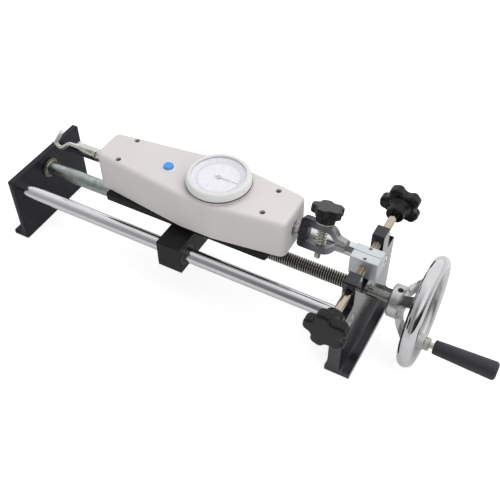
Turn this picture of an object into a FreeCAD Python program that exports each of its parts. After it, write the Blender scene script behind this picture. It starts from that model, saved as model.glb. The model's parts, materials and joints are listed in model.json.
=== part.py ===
import FreeCAD
import Part
import math
import os

# Horizontal hand-driven force test stand, in millimetres.
# +X runs along the guide rods towards the handwheel, +Y to the back, +Z up.
# The origin is the centre of the left foot's underside.

# frame: two end plates joined by two guide rods
left_inner = 8.0            # inner face of the left plate
rod_span = 300.0            # clear length between the plates
left_thick = 6.0
left_width = 92.0
left_height = 65.5
left_foot_reach = 10.0      # how far the foot stands out past the plate
left_foot_thick = 3.5
right_thick = 10.0
right_width = 98.0
right_height = 66.0
right_foot_reach = 9.0
right_foot_heel = 2.0       # how far the right foot reaches inwards
right_foot_thick = 5.0
foot_blend = 3.0            # cove between foot and plate
corner_round = 1.5
rod_dia = 12.0
rod_bore = 4.0              # tapped hole in each end of a rod
rod_bore_deep = 3.5
rod_gauge = 67.5            # distance between the two rods
axis_z = 50.5               # height of the rods and the lead screw

# uprights of the vise, on top of the right plate
upright_out = 33.5          # outer face, from the middle
upright_depth = 13.0
upright_rise = 22.6         # above the plate's top edge
vise_rise = 13.7            # axis of the vise above the plate's top edge
vise_screw_dia = 6.5
jaw_len = 22.0
jaw_depth = 7.9
jaw_height = 17.8
jaw_gap = 0.2               # each jaw's distance from the middle plane
jaw_bore_depth = 5.6
retainer_dia = 2.7
retainer_len = 4.4
retainer_y = 5.65
groove_gap = 0.25           # free room of the retainer in the screw's groove
groove_r = 2.1
neck_gap = 23.0             # from the upright to the vise knob, the jaw shut
neck_len = 9.8
neck_r = 8.3
knob_head = 9.7
knob_lobe_r = 17.2
knob_valley_r = 11.4
front_knob_turn = 30.0      # how far each knob is screwed round
back_knob_turn = 40.0

# lead screw, its sleeve and the bearings
screw_dia = 11.6
journal_dia = 8.0
sleeve_len = 88.7
sleeve_seam = 52.5          # from the left plate to the fine joint line of the sleeve
sleeve_dia = 12.4
sleeve_bore = 9.0
sleeve_flange_dia = 18.0
sleeve_flange = 1.6
bush_wall = 2.0
bush_flange_dia = 16.0
bush_flange = 1.5
run_fit = 0.05              # radial clearance of a running fit

# handwheel
hub_gap = 18.6              # from the right plate to the hub
hub_len = 11.5
hub_r = 13.3
hub_grub_dia = 4.6
dish = 26.2                 # from the hub's left face to the middle of the rim
rim_r = 38.8                # centre of the rim's section
rim_section = 5.8
spoke_angles = (5.0, 125.0, 245.0)
spoke_width = 10.0
spoke_waist = 1.2           # taken off each side halfway along
handle_angle = 264.6
handle_r = 31.6
boss_dia = 12.0
boss_rise = 6.2             # its face beyond the middle of the rim
boss_depth = 12.7
nut_flats = 10.0
nut_thick = 4.6
grip_gap = 3.2
grip_len = 50.0
grip_round = 3.0
grip_r_small = 5.8
grip_r_big = 7.5
spindle_dia = 5.0
spindle_head_dia = 8.4
spindle_depth = 10.2        # how far the spindle reaches into its boss

# carriage
block_x = 164.3             # middle of the cross block
block_len = 21.5
block_width = 90.0
block_below = 11.9          # from the axis of the rods down
block_above = 14.3
block_relief = 17.5
block_relief_deep = 1.6
bush_dia = 18.0
nut_dia = 19.0
nut_flange_dia = 27.0
nut_flange_flats = 23.0
nut_flange = 3.0
platform_len = 150.0
platform_width = 45.0
platform_thick = 6.2
fixing_dia = 4.5            # screws that hold the gauge to the platform
fixing_head = 8.0
fixing_sink = 4.2
fixing_end = 22.0
fixing_y = 10.0

# push-pull gauge
case_before = 84.3          # reach of the case to the left of the cross block's middle
case_len = 173.5
case_height = 35.0
case_wall = 3.0
pull_rise = 17.6            # line of pull above the platform
dial_in = 107.0             # centre of the dial from the case's left end
case_wide_before = 22.0     # the case is widest from here before the dial's centre
case_wide_after = 7.0       # to here behind it
case_half_wide = 26.5
case_half_left = 15.5
case_half_right = 18.5
cover_thick = 2.6
cover_gap = 0.1
dial_boss_r = 24.6
dial_boss_rise = 2.5
bezel_gap = 0.3
bezel_r = 26.0
bezel_top_r = 25.0
bezel_height = 6.2
window_r = 22.4
window_lip = 0.8
dial_face_rise = 2.4        # above the bezel's lower edge
dial_face_thick = 1.2
glass_rise = 4.4
glass_thick = 1.0
button_in = 62.5            # from the case's left end
button_y = -2.8
button_r = 4.2
button_rise = 2.6
collar_r = 6.2
collar_rise = 0.9
case_screw_in = 21.5        # from each end of the case
case_screw_y = 13.4
shaft_dia = 8.0
guide_dia = 14.0

# hook end of the gauge shaft
lock_nut_gap = 11.2         # from the case
lock_nut_len = 4.2
lock_nut_flats = 9.4
socket_len = 15.4
socket_dia = 9.0
thread_dia = 5.0            # reduced ends of the gauge shaft
thread_len = 6.0
hook_wire = 3.0
hook_crest = 8.0            # where the wire starts down, from the socket
hook_bend = 21.2            # middle of the round bend, from the socket
hook_bend_drop = 4.6        # its depth below the line of pull
hook_bend_r = 4.2
hook_leg_in = 226.0         # heading of the wire into the bend
hook_leg_out = 54.4         # and out of it
hook_tip_run = 15.0

# yoke clamp, leaning back about the line of pull
yoke_lean = 22.0
yoke_gap = 4.5              # from the case
yoke_len = 39.0
yoke_half = 12.2
yoke_depth = 8.6
yoke_wall = 5.9             # arm above and below the window
yoke_base = 7.0
yoke_slit = 0.7
yoke_screw_in = 17.5        # clamp screw from the yoke's base
yoke_screw_dia = 5.0
washer_dia = 15.0
washer_thick = 0.8
stem_dia = 15.2
stem_len = 5.9
clamp_head = 6.6
clamp_lobe_r = 12.6
clamp_valley_r = 9.2
clamp_knob_turn = 45.0
screw_tail = 17.6           # tip of the clamp screw below the line of pull
spring_dia = 8.4
spring_wire = 0.9

left_outer = left_inner - left_thick
right_inner = left_inner + rod_span
right_outer = right_inner + right_thick
vise_x = right_inner + right_thick / 2
vise_z = right_height + vise_rise
vise_top = right_height + upright_rise
jaw_low = vise_top - jaw_height
neck_start = upright_out + neck_gap
screw_start = left_inner + sleeve_len + 0.3
screw_end = right_inner - bush_flange - 0.2
hub_x = right_outer + hub_gap
rim_x = hub_x + dish
boss_face = rim_x + boss_rise
spindle_start = boss_face - spindle_depth
grip_start = boss_face + nut_thick + grip_gap
block_low = axis_z - block_below
block_top = axis_z + block_above
case_low = block_top + platform_thick
case_top = case_low + case_height
case_left = block_x - case_before
case_right = case_left + case_len
pull_z = case_low + pull_rise
dial_x = case_left + dial_in
dial_boss_top = case_top + dial_boss_rise
bezel_low = dial_boss_top + bezel_gap
bezel_top = bezel_low + bezel_height
dial_face_z = bezel_low + dial_face_rise
glass_z = bezel_low + glass_rise
button_x = case_left + button_in
case_screw_x = (case_left + case_screw_in, case_right - case_screw_in)
lock_nut_x = case_left - lock_nut_gap - lock_nut_len
socket_left = lock_nut_x - 0.2 - socket_len
hook_crest_x = socket_left - hook_crest
hook_bend_x = socket_left - hook_bend
yoke_left = case_right + yoke_gap
yoke_tip = yoke_left + yoke_len
yoke_screw_x = yoke_left + yoke_screw_in

V = FreeCAD.Vector
axis_x = V(1, 0, 0)
axis_y = V(0, 1, 0)
axis_up = V(0, 0, 1)


def box(x0, x1, y0, y1, z0, z1):
    return Part.makeBox(x1 - x0, y1 - y0, z1 - z0, V(x0, y0, z0))


def rod_x(radius, x0, x1, y, z):
    return Part.makeCylinder(radius, x1 - x0, V(x0, y, z), axis_x)


def rod_y(radius, y0, y1, x, z):
    return Part.makeCylinder(radius, y1 - y0, V(x, y0, z), axis_y)


def rod_z(radius, z0, z1, x, y):
    return Part.makeCylinder(radius, z1 - z0, V(x, y, z0), axis_up)


def cone_x(r0, r1, x0, x1, y, z):
    return Part.makeCone(r0, r1, x1 - x0, V(x0, y, z), axis_x)


def outline(points, place):
    """Closed wire through corners (u, v, radius); place turns (u, v) into a point in space."""
    ends = []
    count = len(points)
    for i, (u, v, r) in enumerate(points):
        pu, pv, _ = points[i - 1]
        nu, nv, _ = points[(i + 1) % count]
        if r == 0:
            ends.append(((u, v), None, (u, v)))
            continue
        back = math.hypot(pu - u, pv - v)
        ahead = math.hypot(nu - u, nv - v)
        ax, ay = (pu - u) / back, (pv - v) / back
        bx, by = (nu - u) / ahead, (nv - v) / ahead
        half = math.acos(max(-1.0, min(1.0, ax * bx + ay * by))) / 2
        reach = r / math.tan(half)
        mx, my = ax + bx, ay + by
        size = math.hypot(mx, my)
        deep = r / math.sin(half) - r
        ends.append((
            (u + ax * reach, v + ay * reach),
            (u + mx / size * deep, v + my / size * deep),
            (u + bx * reach, v + by * reach),
        ))
    edges = []
    for i, (start, middle, stop) in enumerate(ends):
        if middle is not None:
            edges.append(Part.Arc(place(*start), place(*middle), place(*stop)).toShape())
        following = ends[(i + 1) % count][0]
        if math.hypot(following[0] - stop[0], following[1] - stop[1]) > 1e-6:
            edges.append(Part.LineSegment(place(*stop), place(*following)).toShape())
    return Part.Wire(edges)


def slab(points, place, along):
    return Part.Face(outline(points, place)).extrude(along)


def turned(points, start, direction):
    """Solid of revolution from (distance along, radius) points, along +X, +Y or +Z from start."""
    side = axis_up if direction != axis_up else axis_x
    corners = [start + direction * a + side * r for a, r in points]
    corners = [start + direction * points[0][0]] + corners + [start + direction * points[-1][0]]
    clean = [corners[0]]
    for c in corners[1:]:
        if (c - clean[-1]).Length > 1e-6:
            clean.append(c)
    clean.append(clean[0])
    return Part.Face(Part.makePolygon(clean)).revolve(start, direction, 360)


def hexagon_x(flats, x0, x1, y, z):
    r = flats / math.sqrt(3)
    pts = [V(x0, y + r * math.cos(math.radians(a)), z + r * math.sin(math.radians(a)))
           for a in range(0, 361, 60)]
    body = Part.Face(Part.makePolygon(pts)).extrude(axis_x * (x1 - x0))
    chamfer = 0.12 * flats
    half = (x1 - x0) / 2
    ball = turned([(0, r - chamfer), (chamfer * 0.6, r), (2 * half - chamfer * 0.6, r),
                   (2 * half, r - chamfer)], V(x0, y, z), axis_x)
    return body.common(ball)


def edges_where(shape, test):
    return [e for e in shape.Edges if test(e)]


def is_along(edge, direction):
    if not isinstance(edge.Curve, (Part.Line, Part.LineSegment)):
        return False
    a, b = edge.Vertexes[0].Point, edge.Vertexes[-1].Point
    run = (b - a).normalize()
    return abs(abs(run.dot(direction)) - 1) < 1e-6


def left_plate():
    foot_left = left_outer - left_foot_reach
    profile = [
        (foot_left, 0, 0),
        (left_inner, 0, 0),
        (left_inner, left_height, 0.8),
        (left_outer, left_height, 0.8),
        (left_outer, left_foot_thick, foot_blend),
        (foot_left, left_foot_thick, 0.8),
    ]
    half = left_width / 2
    plate = slab(profile, lambda x, z: V(x, -half, z), axis_y * left_width)
    tops = edges_where(plate, lambda e: is_along(e, axis_x) and e.CenterOfMass.z > left_height - 1)
    plate = plate.makeFillet(corner_round, tops)
    for side in (-1, 1):
        plate = plate.cut(rod_x(rod_dia / 2, left_outer - 1, left_inner + 1, side * rod_gauge / 2, axis_z))
    return plate.cut(rod_x(journal_dia / 2 + bush_wall, left_outer - 1, left_inner + 1, 0, axis_z))


def right_plate():
    half = right_width / 2
    inner = upright_out - upright_depth
    cove = foot_blend
    profile = [
        (-half, 0, 0),
        (half, 0, 0),
        (half, right_height, corner_round),
        (upright_out, right_height, cove),
        (upright_out, vise_top, corner_round),
        (inner, vise_top, corner_round),
        (inner, right_height, cove),
        (-inner, right_height, cove),
        (-inner, vise_top, corner_round),
        (-upright_out, vise_top, corner_round),
        (-upright_out, right_height, cove),
        (-half, right_height, corner_round),
    ]
    plate = slab(profile, lambda y, z: V(right_inner, y, z), axis_x * right_thick)
    foot_in = right_inner - right_foot_heel
    foot_out = right_outer + right_foot_reach
    foot = box(foot_in, foot_out, -half, half, 0, right_foot_thick)
    plate = plate.fuse(foot).removeSplitter()
    coves = edges_where(plate, lambda e: is_along(e, axis_y) and e.Length > right_width - 2
                        and abs(e.CenterOfMass.z - right_foot_thick) < 0.01
                        and abs(e.CenterOfMass.x - right_outer) < 0.01)
    plate = plate.makeFillet(foot_blend, coves)
    for side in (-1, 1):
        plate = plate.cut(rod_x(rod_dia / 2, right_inner - 1, right_outer + 1, side * rod_gauge / 2, axis_z))
    plate = plate.cut(rod_x(journal_dia / 2 + bush_wall, right_inner - 1, right_outer + 1, 0, axis_z))
    return plate.cut(rod_y(vise_screw_dia / 2 + run_fit, -half, half, vise_x, vise_z))


def guide_rod(side):
    y = side * rod_gauge / 2
    r = rod_dia / 2
    x0, x1 = left_outer, right_outer
    body = turned([(0, r - 0.8), (0.8, r), (x1 - x0 - 0.8, r), (x1 - x0, r - 0.8)], V(x0, y, axis_z), axis_x)
    for end in (x0, x1 - rod_bore_deep):
        body = body.cut(rod_x(rod_bore / 2, end, end + rod_bore_deep, y, axis_z))
    return body


def screw_sleeve():
    x0 = left_inner
    x1 = left_inner + sleeve_len
    sleeve = turned([
        (0, sleeve_flange_dia / 2 - 0.4), (0.4, sleeve_flange_dia / 2),
        (sleeve_flange, sleeve_flange_dia / 2), (sleeve_flange, sleeve_dia / 2 + 0.5),
        (sleeve_flange + 0.8, sleeve_dia / 2), (x1 - x0, sleeve_dia / 2),
    ], V(x0, 0, axis_z), axis_x)
    seam = left_inner + sleeve_seam
    groove = rod_x(sleeve_dia / 2 + 1, seam, seam + 0.5, 0, axis_z)
    groove = groove.cut(rod_x(sleeve_dia / 2 - 0.25, seam, seam + 0.5, 0, axis_z))
    return sleeve.cut(rod_x(sleeve_bore / 2, x0 - 1, x1 + 1, 0, axis_z)).cut(groove)


def plain_bush(x0, x1):
    r = journal_dia / 2
    return rod_x(r + bush_wall, x0, x1, 0, axis_z).cut(rod_x(r + run_fit, x0 - 1, x1 + 1, 0, axis_z))


def right_bush():
    body = plain_bush(right_inner, right_outer)
    flange = rod_x(bush_flange_dia / 2, right_inner - bush_flange, right_inner, 0, axis_z)
    flange = flange.cut(rod_x(journal_dia / 2 + run_fit, right_inner - 3, right_inner + 1, 0, axis_z))
    return body.fuse(flange).removeSplitter()


def lead_screw():
    j = journal_dia / 2
    r = screw_dia / 2
    x0 = left_outer + 0.5
    x1 = hub_x + hub_len - 0.5
    return turned([
        (0, j - 0.6), (0.6, j), (screw_start - x0, j),
        (screw_start - x0, r - 1.2), (screw_start - x0 + 1.2, r),
        (screw_end - x0 - 1.2, r), (screw_end - x0, r - 1.2),
        (screw_end - x0, j), (x1 - x0 - 0.6, j), (x1 - x0, j - 0.6),
    ], V(x0, 0, axis_z), axis_x)


def radial(angle, distance):
    a = math.radians(angle)
    return distance * math.cos(a), axis_z + distance * math.sin(a)


def spoke(angle):
    # curved arm from the hub to the rim, drawn in the plane of the wheel's axis
    inner = hub_r - 4.0
    outer = rim_r - 2.0
    left = [(0.0, 0.27), (0.25, 0.34), (0.5, 0.5), (0.72, 0.67), (1.0, 0.83)]
    right = [(1.0, 1.08), (0.72, 0.93), (0.48, 0.74), (0.25, 0.53), (0.0, 0.43)]
    curves = []
    for shares in (left, right):
        curve = Part.BSplineCurve()
        curve.interpolate([V(hub_x + dish * x, inner + (outer - inner) * r, 0) for r, x in shares])
        curves.append(curve.toShape())
    a, b = curves
    end = Part.LineSegment(a.Vertexes[-1].Point, b.Vertexes[0].Point).toShape()
    shut = Part.LineSegment(b.Vertexes[-1].Point, a.Vertexes[0].Point).toShape()
    face = Part.Face(Part.Wire([a, end, b, shut]))
    face.translate(V(0, 0, -spoke_width / 2))
    arm = face.extrude(V(0, 0, spoke_width))
    # waisted in width towards the rim
    waist_r = 1.5 * rim_r
    for side in (-1, 1):
        away = side * (waist_r + spoke_width / 2 - spoke_waist)
        arm = arm.cut(Part.makeCylinder(waist_r, 2 * dish, V(hub_x - 5, (inner + outer) / 2, away), axis_x))
    arm.rotate(V(0, 0, 0), axis_x, angle)
    arm.translate(V(0, 0, axis_z))
    return arm


def handwheel():
    rim = Part.makeTorus(rim_r, rim_section, V(rim_x, 0, axis_z), axis_x)
    hub = turned([
        (0, hub_r - 0.8), (0.8, hub_r), (hub_len - 3.5, hub_r), (hub_len - 1.5, hub_r - 1.0),
        (hub_len, hub_r - 3.2),
    ], V(hub_x, 0, axis_z), axis_x)
    wheel = hub.fuse([rim] + [spoke(a) for a in spoke_angles])
    y, z = radial(handle_angle, handle_r)
    boss = cone_x(boss_dia / 2 + 1.0, boss_dia / 2, boss_face - boss_depth, boss_face, y, z)
    wheel = wheel.fuse(boss).removeSplitter()
    wheel = wheel.cut(rod_x(journal_dia / 2, hub_x - 1, hub_x + hub_len + 1, 0, axis_z))
    wheel = wheel.cut(rod_x(spindle_dia / 2, spindle_start, boss_face + 1, y, z))
    grub = rod_z(hub_grub_dia / 2, axis_z + journal_dia / 2 + 0.5, axis_z + hub_r + 2, hub_x + hub_len / 2, 0)
    return wheel.cut(grub)


def handle_nut():
    y, z = radial(handle_angle, handle_r)
    nut = hexagon_x(nut_flats, boss_face, boss_face + nut_thick, y, z)
    return nut.cut(rod_x(spindle_dia / 2, boss_face - 1, boss_face + nut_thick + 1, y, z))


def handle_spindle():
    y, z = radial(handle_angle, handle_r)
    r = spindle_dia / 2
    big = spindle_head_dia / 2
    x0 = spindle_start
    x1 = grip_start + grip_len - 1.6
    head = 2.6
    spindle = turned([(0, r - 0.5), (0.5, r), (x1 - x0 - head, r), (x1 - x0 - head, big),
                      (x1 - x0 - 0.5, big), (x1 - x0, big - 0.5)], V(x0, y, z), axis_x)
    slot = box(x1 - 1.2, x1 + 1, y - big - 1, y + big + 1, z - 0.5, z + 0.5)
    return spindle.cut(slot)


def handle_grip():
    y, z = radial(handle_angle, handle_r)
    start = V(grip_start, y, z)
    n = 9
    points = [(0, grip_r_small - 0.8), (0.8, grip_r_small)]
    end = grip_len - grip_round
    points.append((end, grip_r_big))
    for i in range(1, n):
        a = math.radians(90 * i / (n - 1))
        points.append((end + grip_round * math.sin(a), grip_r_big + grip_round * (math.cos(a) - 1)))
    grip = turned(points, start, axis_x)
    bore = rod_x(spindle_dia / 2 + run_fit, grip_start - 1, grip_start + grip_len + 1, y, z)
    seat = rod_x(spindle_head_dia / 2 + 0.3, grip_start + grip_len - 4.6, grip_start + grip_len + 1, y, z)
    return grip.cut(bore).cut(seat)


def carriage_block():
    x0 = block_x - block_len / 2
    half = block_width / 2
    relief = block_relief
    under = block_low + block_relief_deep
    profile = [
        (-half, block_low, 1.0),
        (-relief - 2 * block_relief_deep, block_low, 0.6),
        (-relief, under, 0.8),
        (relief, under, 0.8),
        (relief + 2 * block_relief_deep, block_low, 0.6),
        (half, block_low, 1.0),
        (half, block_top, 1.0),
        (-half, block_top, 1.0),
    ]
    block = slab(profile, lambda y, z: V(x0, y, z), axis_x * block_len)
    for side in (-1, 1):
        block = block.cut(rod_x(bush_dia / 2, x0 - 1, x0 + block_len + 1, side * rod_gauge / 2, axis_z))
    block = block.cut(rod_x(nut_dia / 2, x0 - 1, x0 + block_len + 1, 0, axis_z))
    return block


def slide_bush(side):
    x0 = block_x - block_len / 2
    y = side * rod_gauge / 2
    body = rod_x(bush_dia / 2, x0, x0 + block_len, y, axis_z)
    bore = rod_x(rod_dia / 2 + run_fit, x0 - 1, x0 + block_len + 1, y, axis_z)
    lead = cone_x(rod_dia / 2, rod_dia / 2 + 0.9, x0 + block_len - 0.9, x0 + block_len, y, axis_z)
    return body.cut(bore).cut(lead)


def lead_nut():
    x0 = block_x - block_len / 2
    body = rod_x(nut_dia / 2, x0, x0 + block_len, 0, axis_z)
    flange = rod_x(nut_flange_dia / 2, x0 - nut_flange, x0, 0, axis_z)
    nut = body.fuse(flange).removeSplitter()
    nut = nut.cut(rod_x(screw_dia / 2 + run_fit, x0 - nut_flange - 1, x0 + block_len + 1, 0, axis_z))
    # flats above and below, so that the flange clears the platform
    wide = nut_flange_dia
    flat = nut_flange_flats / 2
    keep = box(x0 - nut_flange - 1, x0 + block_len + 1, -wide, wide, axis_z - flat, axis_z + flat)
    return nut.common(keep)


def platform():
    x0 = block_x - platform_len / 2
    half = platform_width / 2
    corner = 2.0
    profile = [
        (x0, -half, corner),
        (x0 + platform_len, -half, corner),
        (x0 + platform_len, half, corner),
        (x0, half, corner),
    ]
    top = block_top + platform_thick
    plate = slab(profile, lambda x, y: V(x, y, block_top), axis_up * platform_thick)
    rims = edges_where(plate, lambda e: abs(e.CenterOfMass.z - top) < 0.01)
    plate = plate.makeChamfer(0.5, rims)
    # screw holes that hold the gauge from below
    for x in (x0 + fixing_end, x0 + platform_len - fixing_end):
        for side in (-1, 1):
            plate = plate.cut(rod_z(fixing_dia / 2, block_top - 1, top + 1, x, side * fixing_y))
            plate = plate.cut(rod_z(fixing_head / 2, block_top - 1, block_top + fixing_sink, x, side * fixing_y))
    return plate


def case_plan(inset):
    a, b, c = case_half_left - inset, case_half_wide - inset, case_half_right - inset
    x0, x1 = case_left + inset, case_right - inset
    r = max(6.0 - inset, 1.5)
    upper = [(x0, a, r), (dial_x - case_wide_before, b, 30.0), (dial_x + case_wide_after, b, 30.0), (x1, c, r)]
    return upper + [(x, -y, q) for x, y, q in reversed(upper)]


def gauge_case():
    height = case_top - case_low
    body = slab(case_plan(0), lambda x, y: V(x, y, case_low), axis_up * height)
    rims = edges_where(body, lambda e: abs(e.CenterOfMass.z - case_top) < 0.01)
    body = body.makeFillet(3.6, rims)
    lows = edges_where(body, lambda e: abs(e.CenterOfMass.z - case_low) < 0.01)
    body = body.makeFillet(1.2, lows)
    boss = Part.makeCone(dial_boss_r + 1.0, dial_boss_r, dial_boss_top - case_top, V(dial_x, 0, case_top), axis_up)
    body = body.fuse(boss).removeSplitter()
    hollow = slab(case_plan(case_wall), lambda x, y: V(x, y, case_low - 1),
                  axis_up * (height + 1 - case_wall))
    body = body.cut(hollow)
    body = body.cut(rod_x(guide_dia / 2, case_left - 1, case_right + 1, 0, pull_z))
    body = body.cut(rod_z(1.2, case_top - 6, dial_boss_top + 1, dial_x, 0))
    body = body.cut(rod_z(collar_r, case_top - 6, case_top + 1, button_x, button_y))
    for x in case_screw_x:
        for side in (-1, 1):
            y = side * case_screw_y
            body = body.cut(rod_z(2.3, case_top - 2.2, case_top + 1, x, y))
            body = body.cut(rod_z(1.3, case_top - 6, case_top, x, y))
    return body


def case_cover():
    cover = slab(case_plan(case_wall + cover_gap), lambda x, y: V(x, y, case_low), axis_up * cover_thick)
    for x in case_screw_x:
        for side in (-1, 1):
            cover = cover.cut(rod_z(1.7, case_low - 1, case_low + cover_thick + 1, x, side * case_screw_y * 0.8))
    return cover


def shaft_guide(x0, x1, lip):
    r = guide_dia / 2
    body = turned([(0, r - 0.5), (0.5, r), (x1 - x0, r)], V(x0, 0, pull_z), axis_x)
    if lip > 0:
        body = turned([(0, r), (x1 - x0 - 0.5, r), (x1 - x0, r - 0.5)], V(x0, 0, pull_z), axis_x)
    return body.cut(rod_x(shaft_dia / 2 + run_fit, x0 - 1, x1 + 1, 0, pull_z))


def gauge_shaft():
    r = shaft_dia / 2
    t = thread_dia / 2
    x0 = socket_left + thread_len
    x1 = yoke_left + thread_len - 1.0
    left, right = lock_nut_x + lock_nut_len - x0, yoke_left - 0.8 - x0
    return turned([(0, t - 0.5), (0.5, t), (left, t), (left, r), (right, r), (right, t),
                   (x1 - x0 - 0.5, t), (x1 - x0, t - 0.5)], V(x0, 0, pull_z), axis_x)


def hook_lock_nut():
    nut = hexagon_x(lock_nut_flats, lock_nut_x, lock_nut_x + lock_nut_len, 0, pull_z)
    return nut.cut(rod_x(thread_dia / 2, lock_nut_x - 1, lock_nut_x + lock_nut_len + 1, 0, pull_z))


def hook_socket():
    r = socket_dia / 2
    body = turned([(0, hook_wire / 2 + 0.9), (3.4, r), (socket_len - 0.4, r), (socket_len, r - 0.4)],
                  V(socket_left, 0, pull_z), axis_x)
    body = body.cut(rod_x(thread_dia / 2, socket_left + thread_len, lock_nut_x + 1, 0, pull_z))
    return body.cut(rod_x(hook_wire / 2, socket_left - 1, socket_left + 4.5, 0, pull_z))


def heading(angle, length):
    return V(length * math.cos(math.radians(angle)), 0, length * math.sin(math.radians(angle)))


def tangent_arc(before, corner, after, radius):
    """Ends and arc of a bend of this radius at corner, between two straight runs."""
    back = (before - corner).normalize()
    ahead = (after - corner).normalize()
    half = math.acos(back.dot(ahead)) / 2
    reach = radius / math.tan(half)
    middle = corner + (back + ahead).normalize() * (radius / math.sin(half) - radius)
    start, stop = corner + back * reach, corner + ahead * reach
    return start, Part.Arc(start, middle, stop).toShape(), stop


def wire_hook():
    # S-shaped: over a low crest, down, round the bend and up to the open tip
    centre = V(hook_bend_x, 0, pull_z - hook_bend_drop)
    enter = centre + heading(hook_leg_in + 90, hook_bend_r)
    leave = centre + heading(hook_leg_out + 90, hook_bend_r)
    bottom = centre + heading((hook_leg_in + hook_leg_out) / 2 + 90, hook_bend_r)
    tip = leave + heading(hook_leg_out, hook_tip_run)
    drop = (hook_crest_x - enter.x) / -math.cos(math.radians(hook_leg_in))
    crest = enter - heading(hook_leg_in, drop)
    root = V(socket_left + 4.3, 0, pull_z)
    rise = V(socket_left - 2.0, 0, pull_z)
    s1, arc1, e1 = tangent_arc(root, rise, crest, 7.0)
    s2, arc2, e2 = tangent_arc(rise, crest, enter, 3.2)
    path = Part.Wire([
        Part.LineSegment(root, s1).toShape(), arc1, Part.LineSegment(e1, s2).toShape(), arc2,
        Part.LineSegment(e2, enter).toShape(), Part.Arc(enter, bottom, leave).toShape(),
        Part.LineSegment(leave, tip).toShape(),
    ])
    ring = Part.Wire([Part.Circle(root, axis_x, hook_wire / 2).toShape()])
    hook = path.makePipeShell([ring], True, False)
    return hook.fuse(Part.makeSphere(hook_wire / 2, tip)).removeSplitter()


def lean(shape):
    shape.rotate(V(0, 0, pull_z), axis_x, -yoke_lean)
    return shape


def yoke_clamp():
    half = yoke_half
    r = yoke_screw_dia / 2
    outer = [
        (yoke_left, -half, 3.2),
        (yoke_screw_x + 8.5, -half, 12.0),
        (yoke_tip - 8.0, -5.2, 5.0),
        (yoke_tip, -3.6, 2.4),
        (yoke_tip, 3.6, 2.4),
        (yoke_tip - 8.0, 5.2, 5.0),
        (yoke_screw_x + 8.5, half, 12.0),
        (yoke_left, half, 3.2),
    ]
    inside = half - yoke_wall
    window = [
        (yoke_left + yoke_base, -inside, 1.6),
        (yoke_screw_x + 6.5, -inside, 6.0),
        (yoke_tip - 7.6, 0, 3.0),
        (yoke_screw_x + 6.5, inside, 6.0),
        (yoke_left + yoke_base, inside, 1.6),
    ]
    place = lambda x, w: V(x, -yoke_depth / 2, pull_z + w)
    ring = slab(outer, place, axis_y * yoke_depth)
    rims = edges_where(ring, lambda e: abs(abs(e.CenterOfMass.y) - yoke_depth / 2) < 0.01)
    ring = ring.makeFillet(1.0, rims)
    ring = ring.cut(slab(window, lambda x, w: V(x, -yoke_depth, pull_z + w), axis_y * 2 * yoke_depth))
    # fine slit between the two gripping fingers
    slit = yoke_slit / 2
    ring = ring.cut(box(yoke_tip - 12, yoke_tip + 1, -yoke_depth, yoke_depth, pull_z - slit, pull_z + slit))
    ring = ring.cut(rod_z(r + run_fit, pull_z - half - 2, pull_z + half + 2, yoke_screw_x, 0))
    return lean(ring.cut(rod_x(thread_dia / 2, yoke_left - 1, yoke_left + thread_len - 0.8, 0, pull_z)))


def clamp_spring():
    # outer envelope of the coil, between the two arms of the yoke
    reach = yoke_half - yoke_wall - 0.1
    outer = rod_z(spring_dia / 2, pull_z - reach, pull_z + reach, yoke_screw_x, 0)
    bore = rod_z(spring_dia / 2 - spring_wire, pull_z - reach - 1, pull_z + reach + 1, yoke_screw_x, 0)
    return lean(outer.cut(bore))


def clamp_washer():
    z0 = pull_z + yoke_half
    washer = rod_z(washer_dia / 2, z0, z0 + washer_thick, yoke_screw_x, 0)
    return lean(washer.cut(rod_z(yoke_screw_dia / 2 + run_fit, z0 - 1, z0 + 2, yoke_screw_x, 0)))


def clamp_screw():
    z0 = pull_z - screw_tail
    z1 = pull_z + yoke_half + washer_thick + stem_len + 4.0
    r = yoke_screw_dia / 2
    return lean(turned([(0, r - 0.8), (0.8, r), (z1 - z0, r)], V(yoke_screw_x, 0, z0), axis_up))


def star(lobes, turn, lobe_r, valley_r, half_angle, tip_round, valley_round):
    pts = []
    for i in range(lobes):
        a = math.radians(turn + 360.0 / lobes * i)
        h = math.radians(half_angle)
        pts.append((lobe_r * math.cos(a - h), lobe_r * math.sin(a - h), tip_round))
        pts.append((lobe_r * math.cos(a + h), lobe_r * math.sin(a + h), tip_round))
        b = a + math.pi / lobes
        pts.append((valley_r * math.cos(b), valley_r * math.sin(b), valley_round))
    return pts


def clamp_knob():
    z0 = pull_z + yoke_half + washer_thick
    stem = turned([(0, stem_dia / 2 - 0.5), (0.5, stem_dia / 2), (stem_len, stem_dia / 2)],
                  V(yoke_screw_x, 0, z0), axis_up)
    pts = star(5, clamp_knob_turn, clamp_lobe_r + 0.6, clamp_valley_r, 17.0, 3.6, 3.5)
    z1 = z0 + stem_len
    head = slab(pts, lambda x, y: V(yoke_screw_x + x, y, z1), axis_up * clamp_head)
    ends = edges_where(head, lambda e: abs(e.CenterOfMass.z - z1) < 0.01
                       or abs(e.CenterOfMass.z - z1 - clamp_head) < 0.01)
    head = head.makeFillet(1.1, ends)
    knob = head.fuse(stem).removeSplitter()
    return lean(knob.cut(rod_z(yoke_screw_dia / 2, z0 - 1, z0 + stem_len + 4.0, yoke_screw_x, 0)))


def bezel():
    v = V(dial_x, 0, bezel_low)
    h = bezel_top - bezel_low
    ring = turned([(0, bezel_r - 0.4), (0.4, bezel_r), (2.4, bezel_r), (h - 1.4, bezel_top_r + 0.3),
                   (h - 0.4, bezel_top_r - 0.4), (h, bezel_top_r - 1.4)], v, axis_up)
    ring = ring.cut(rod_z(window_r - window_lip, bezel_low - 1, bezel_top + 1, dial_x, 0))
    return ring.cut(rod_z(window_r + window_lip, bezel_low - 1, glass_z + glass_thick, dial_x, 0))


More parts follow.
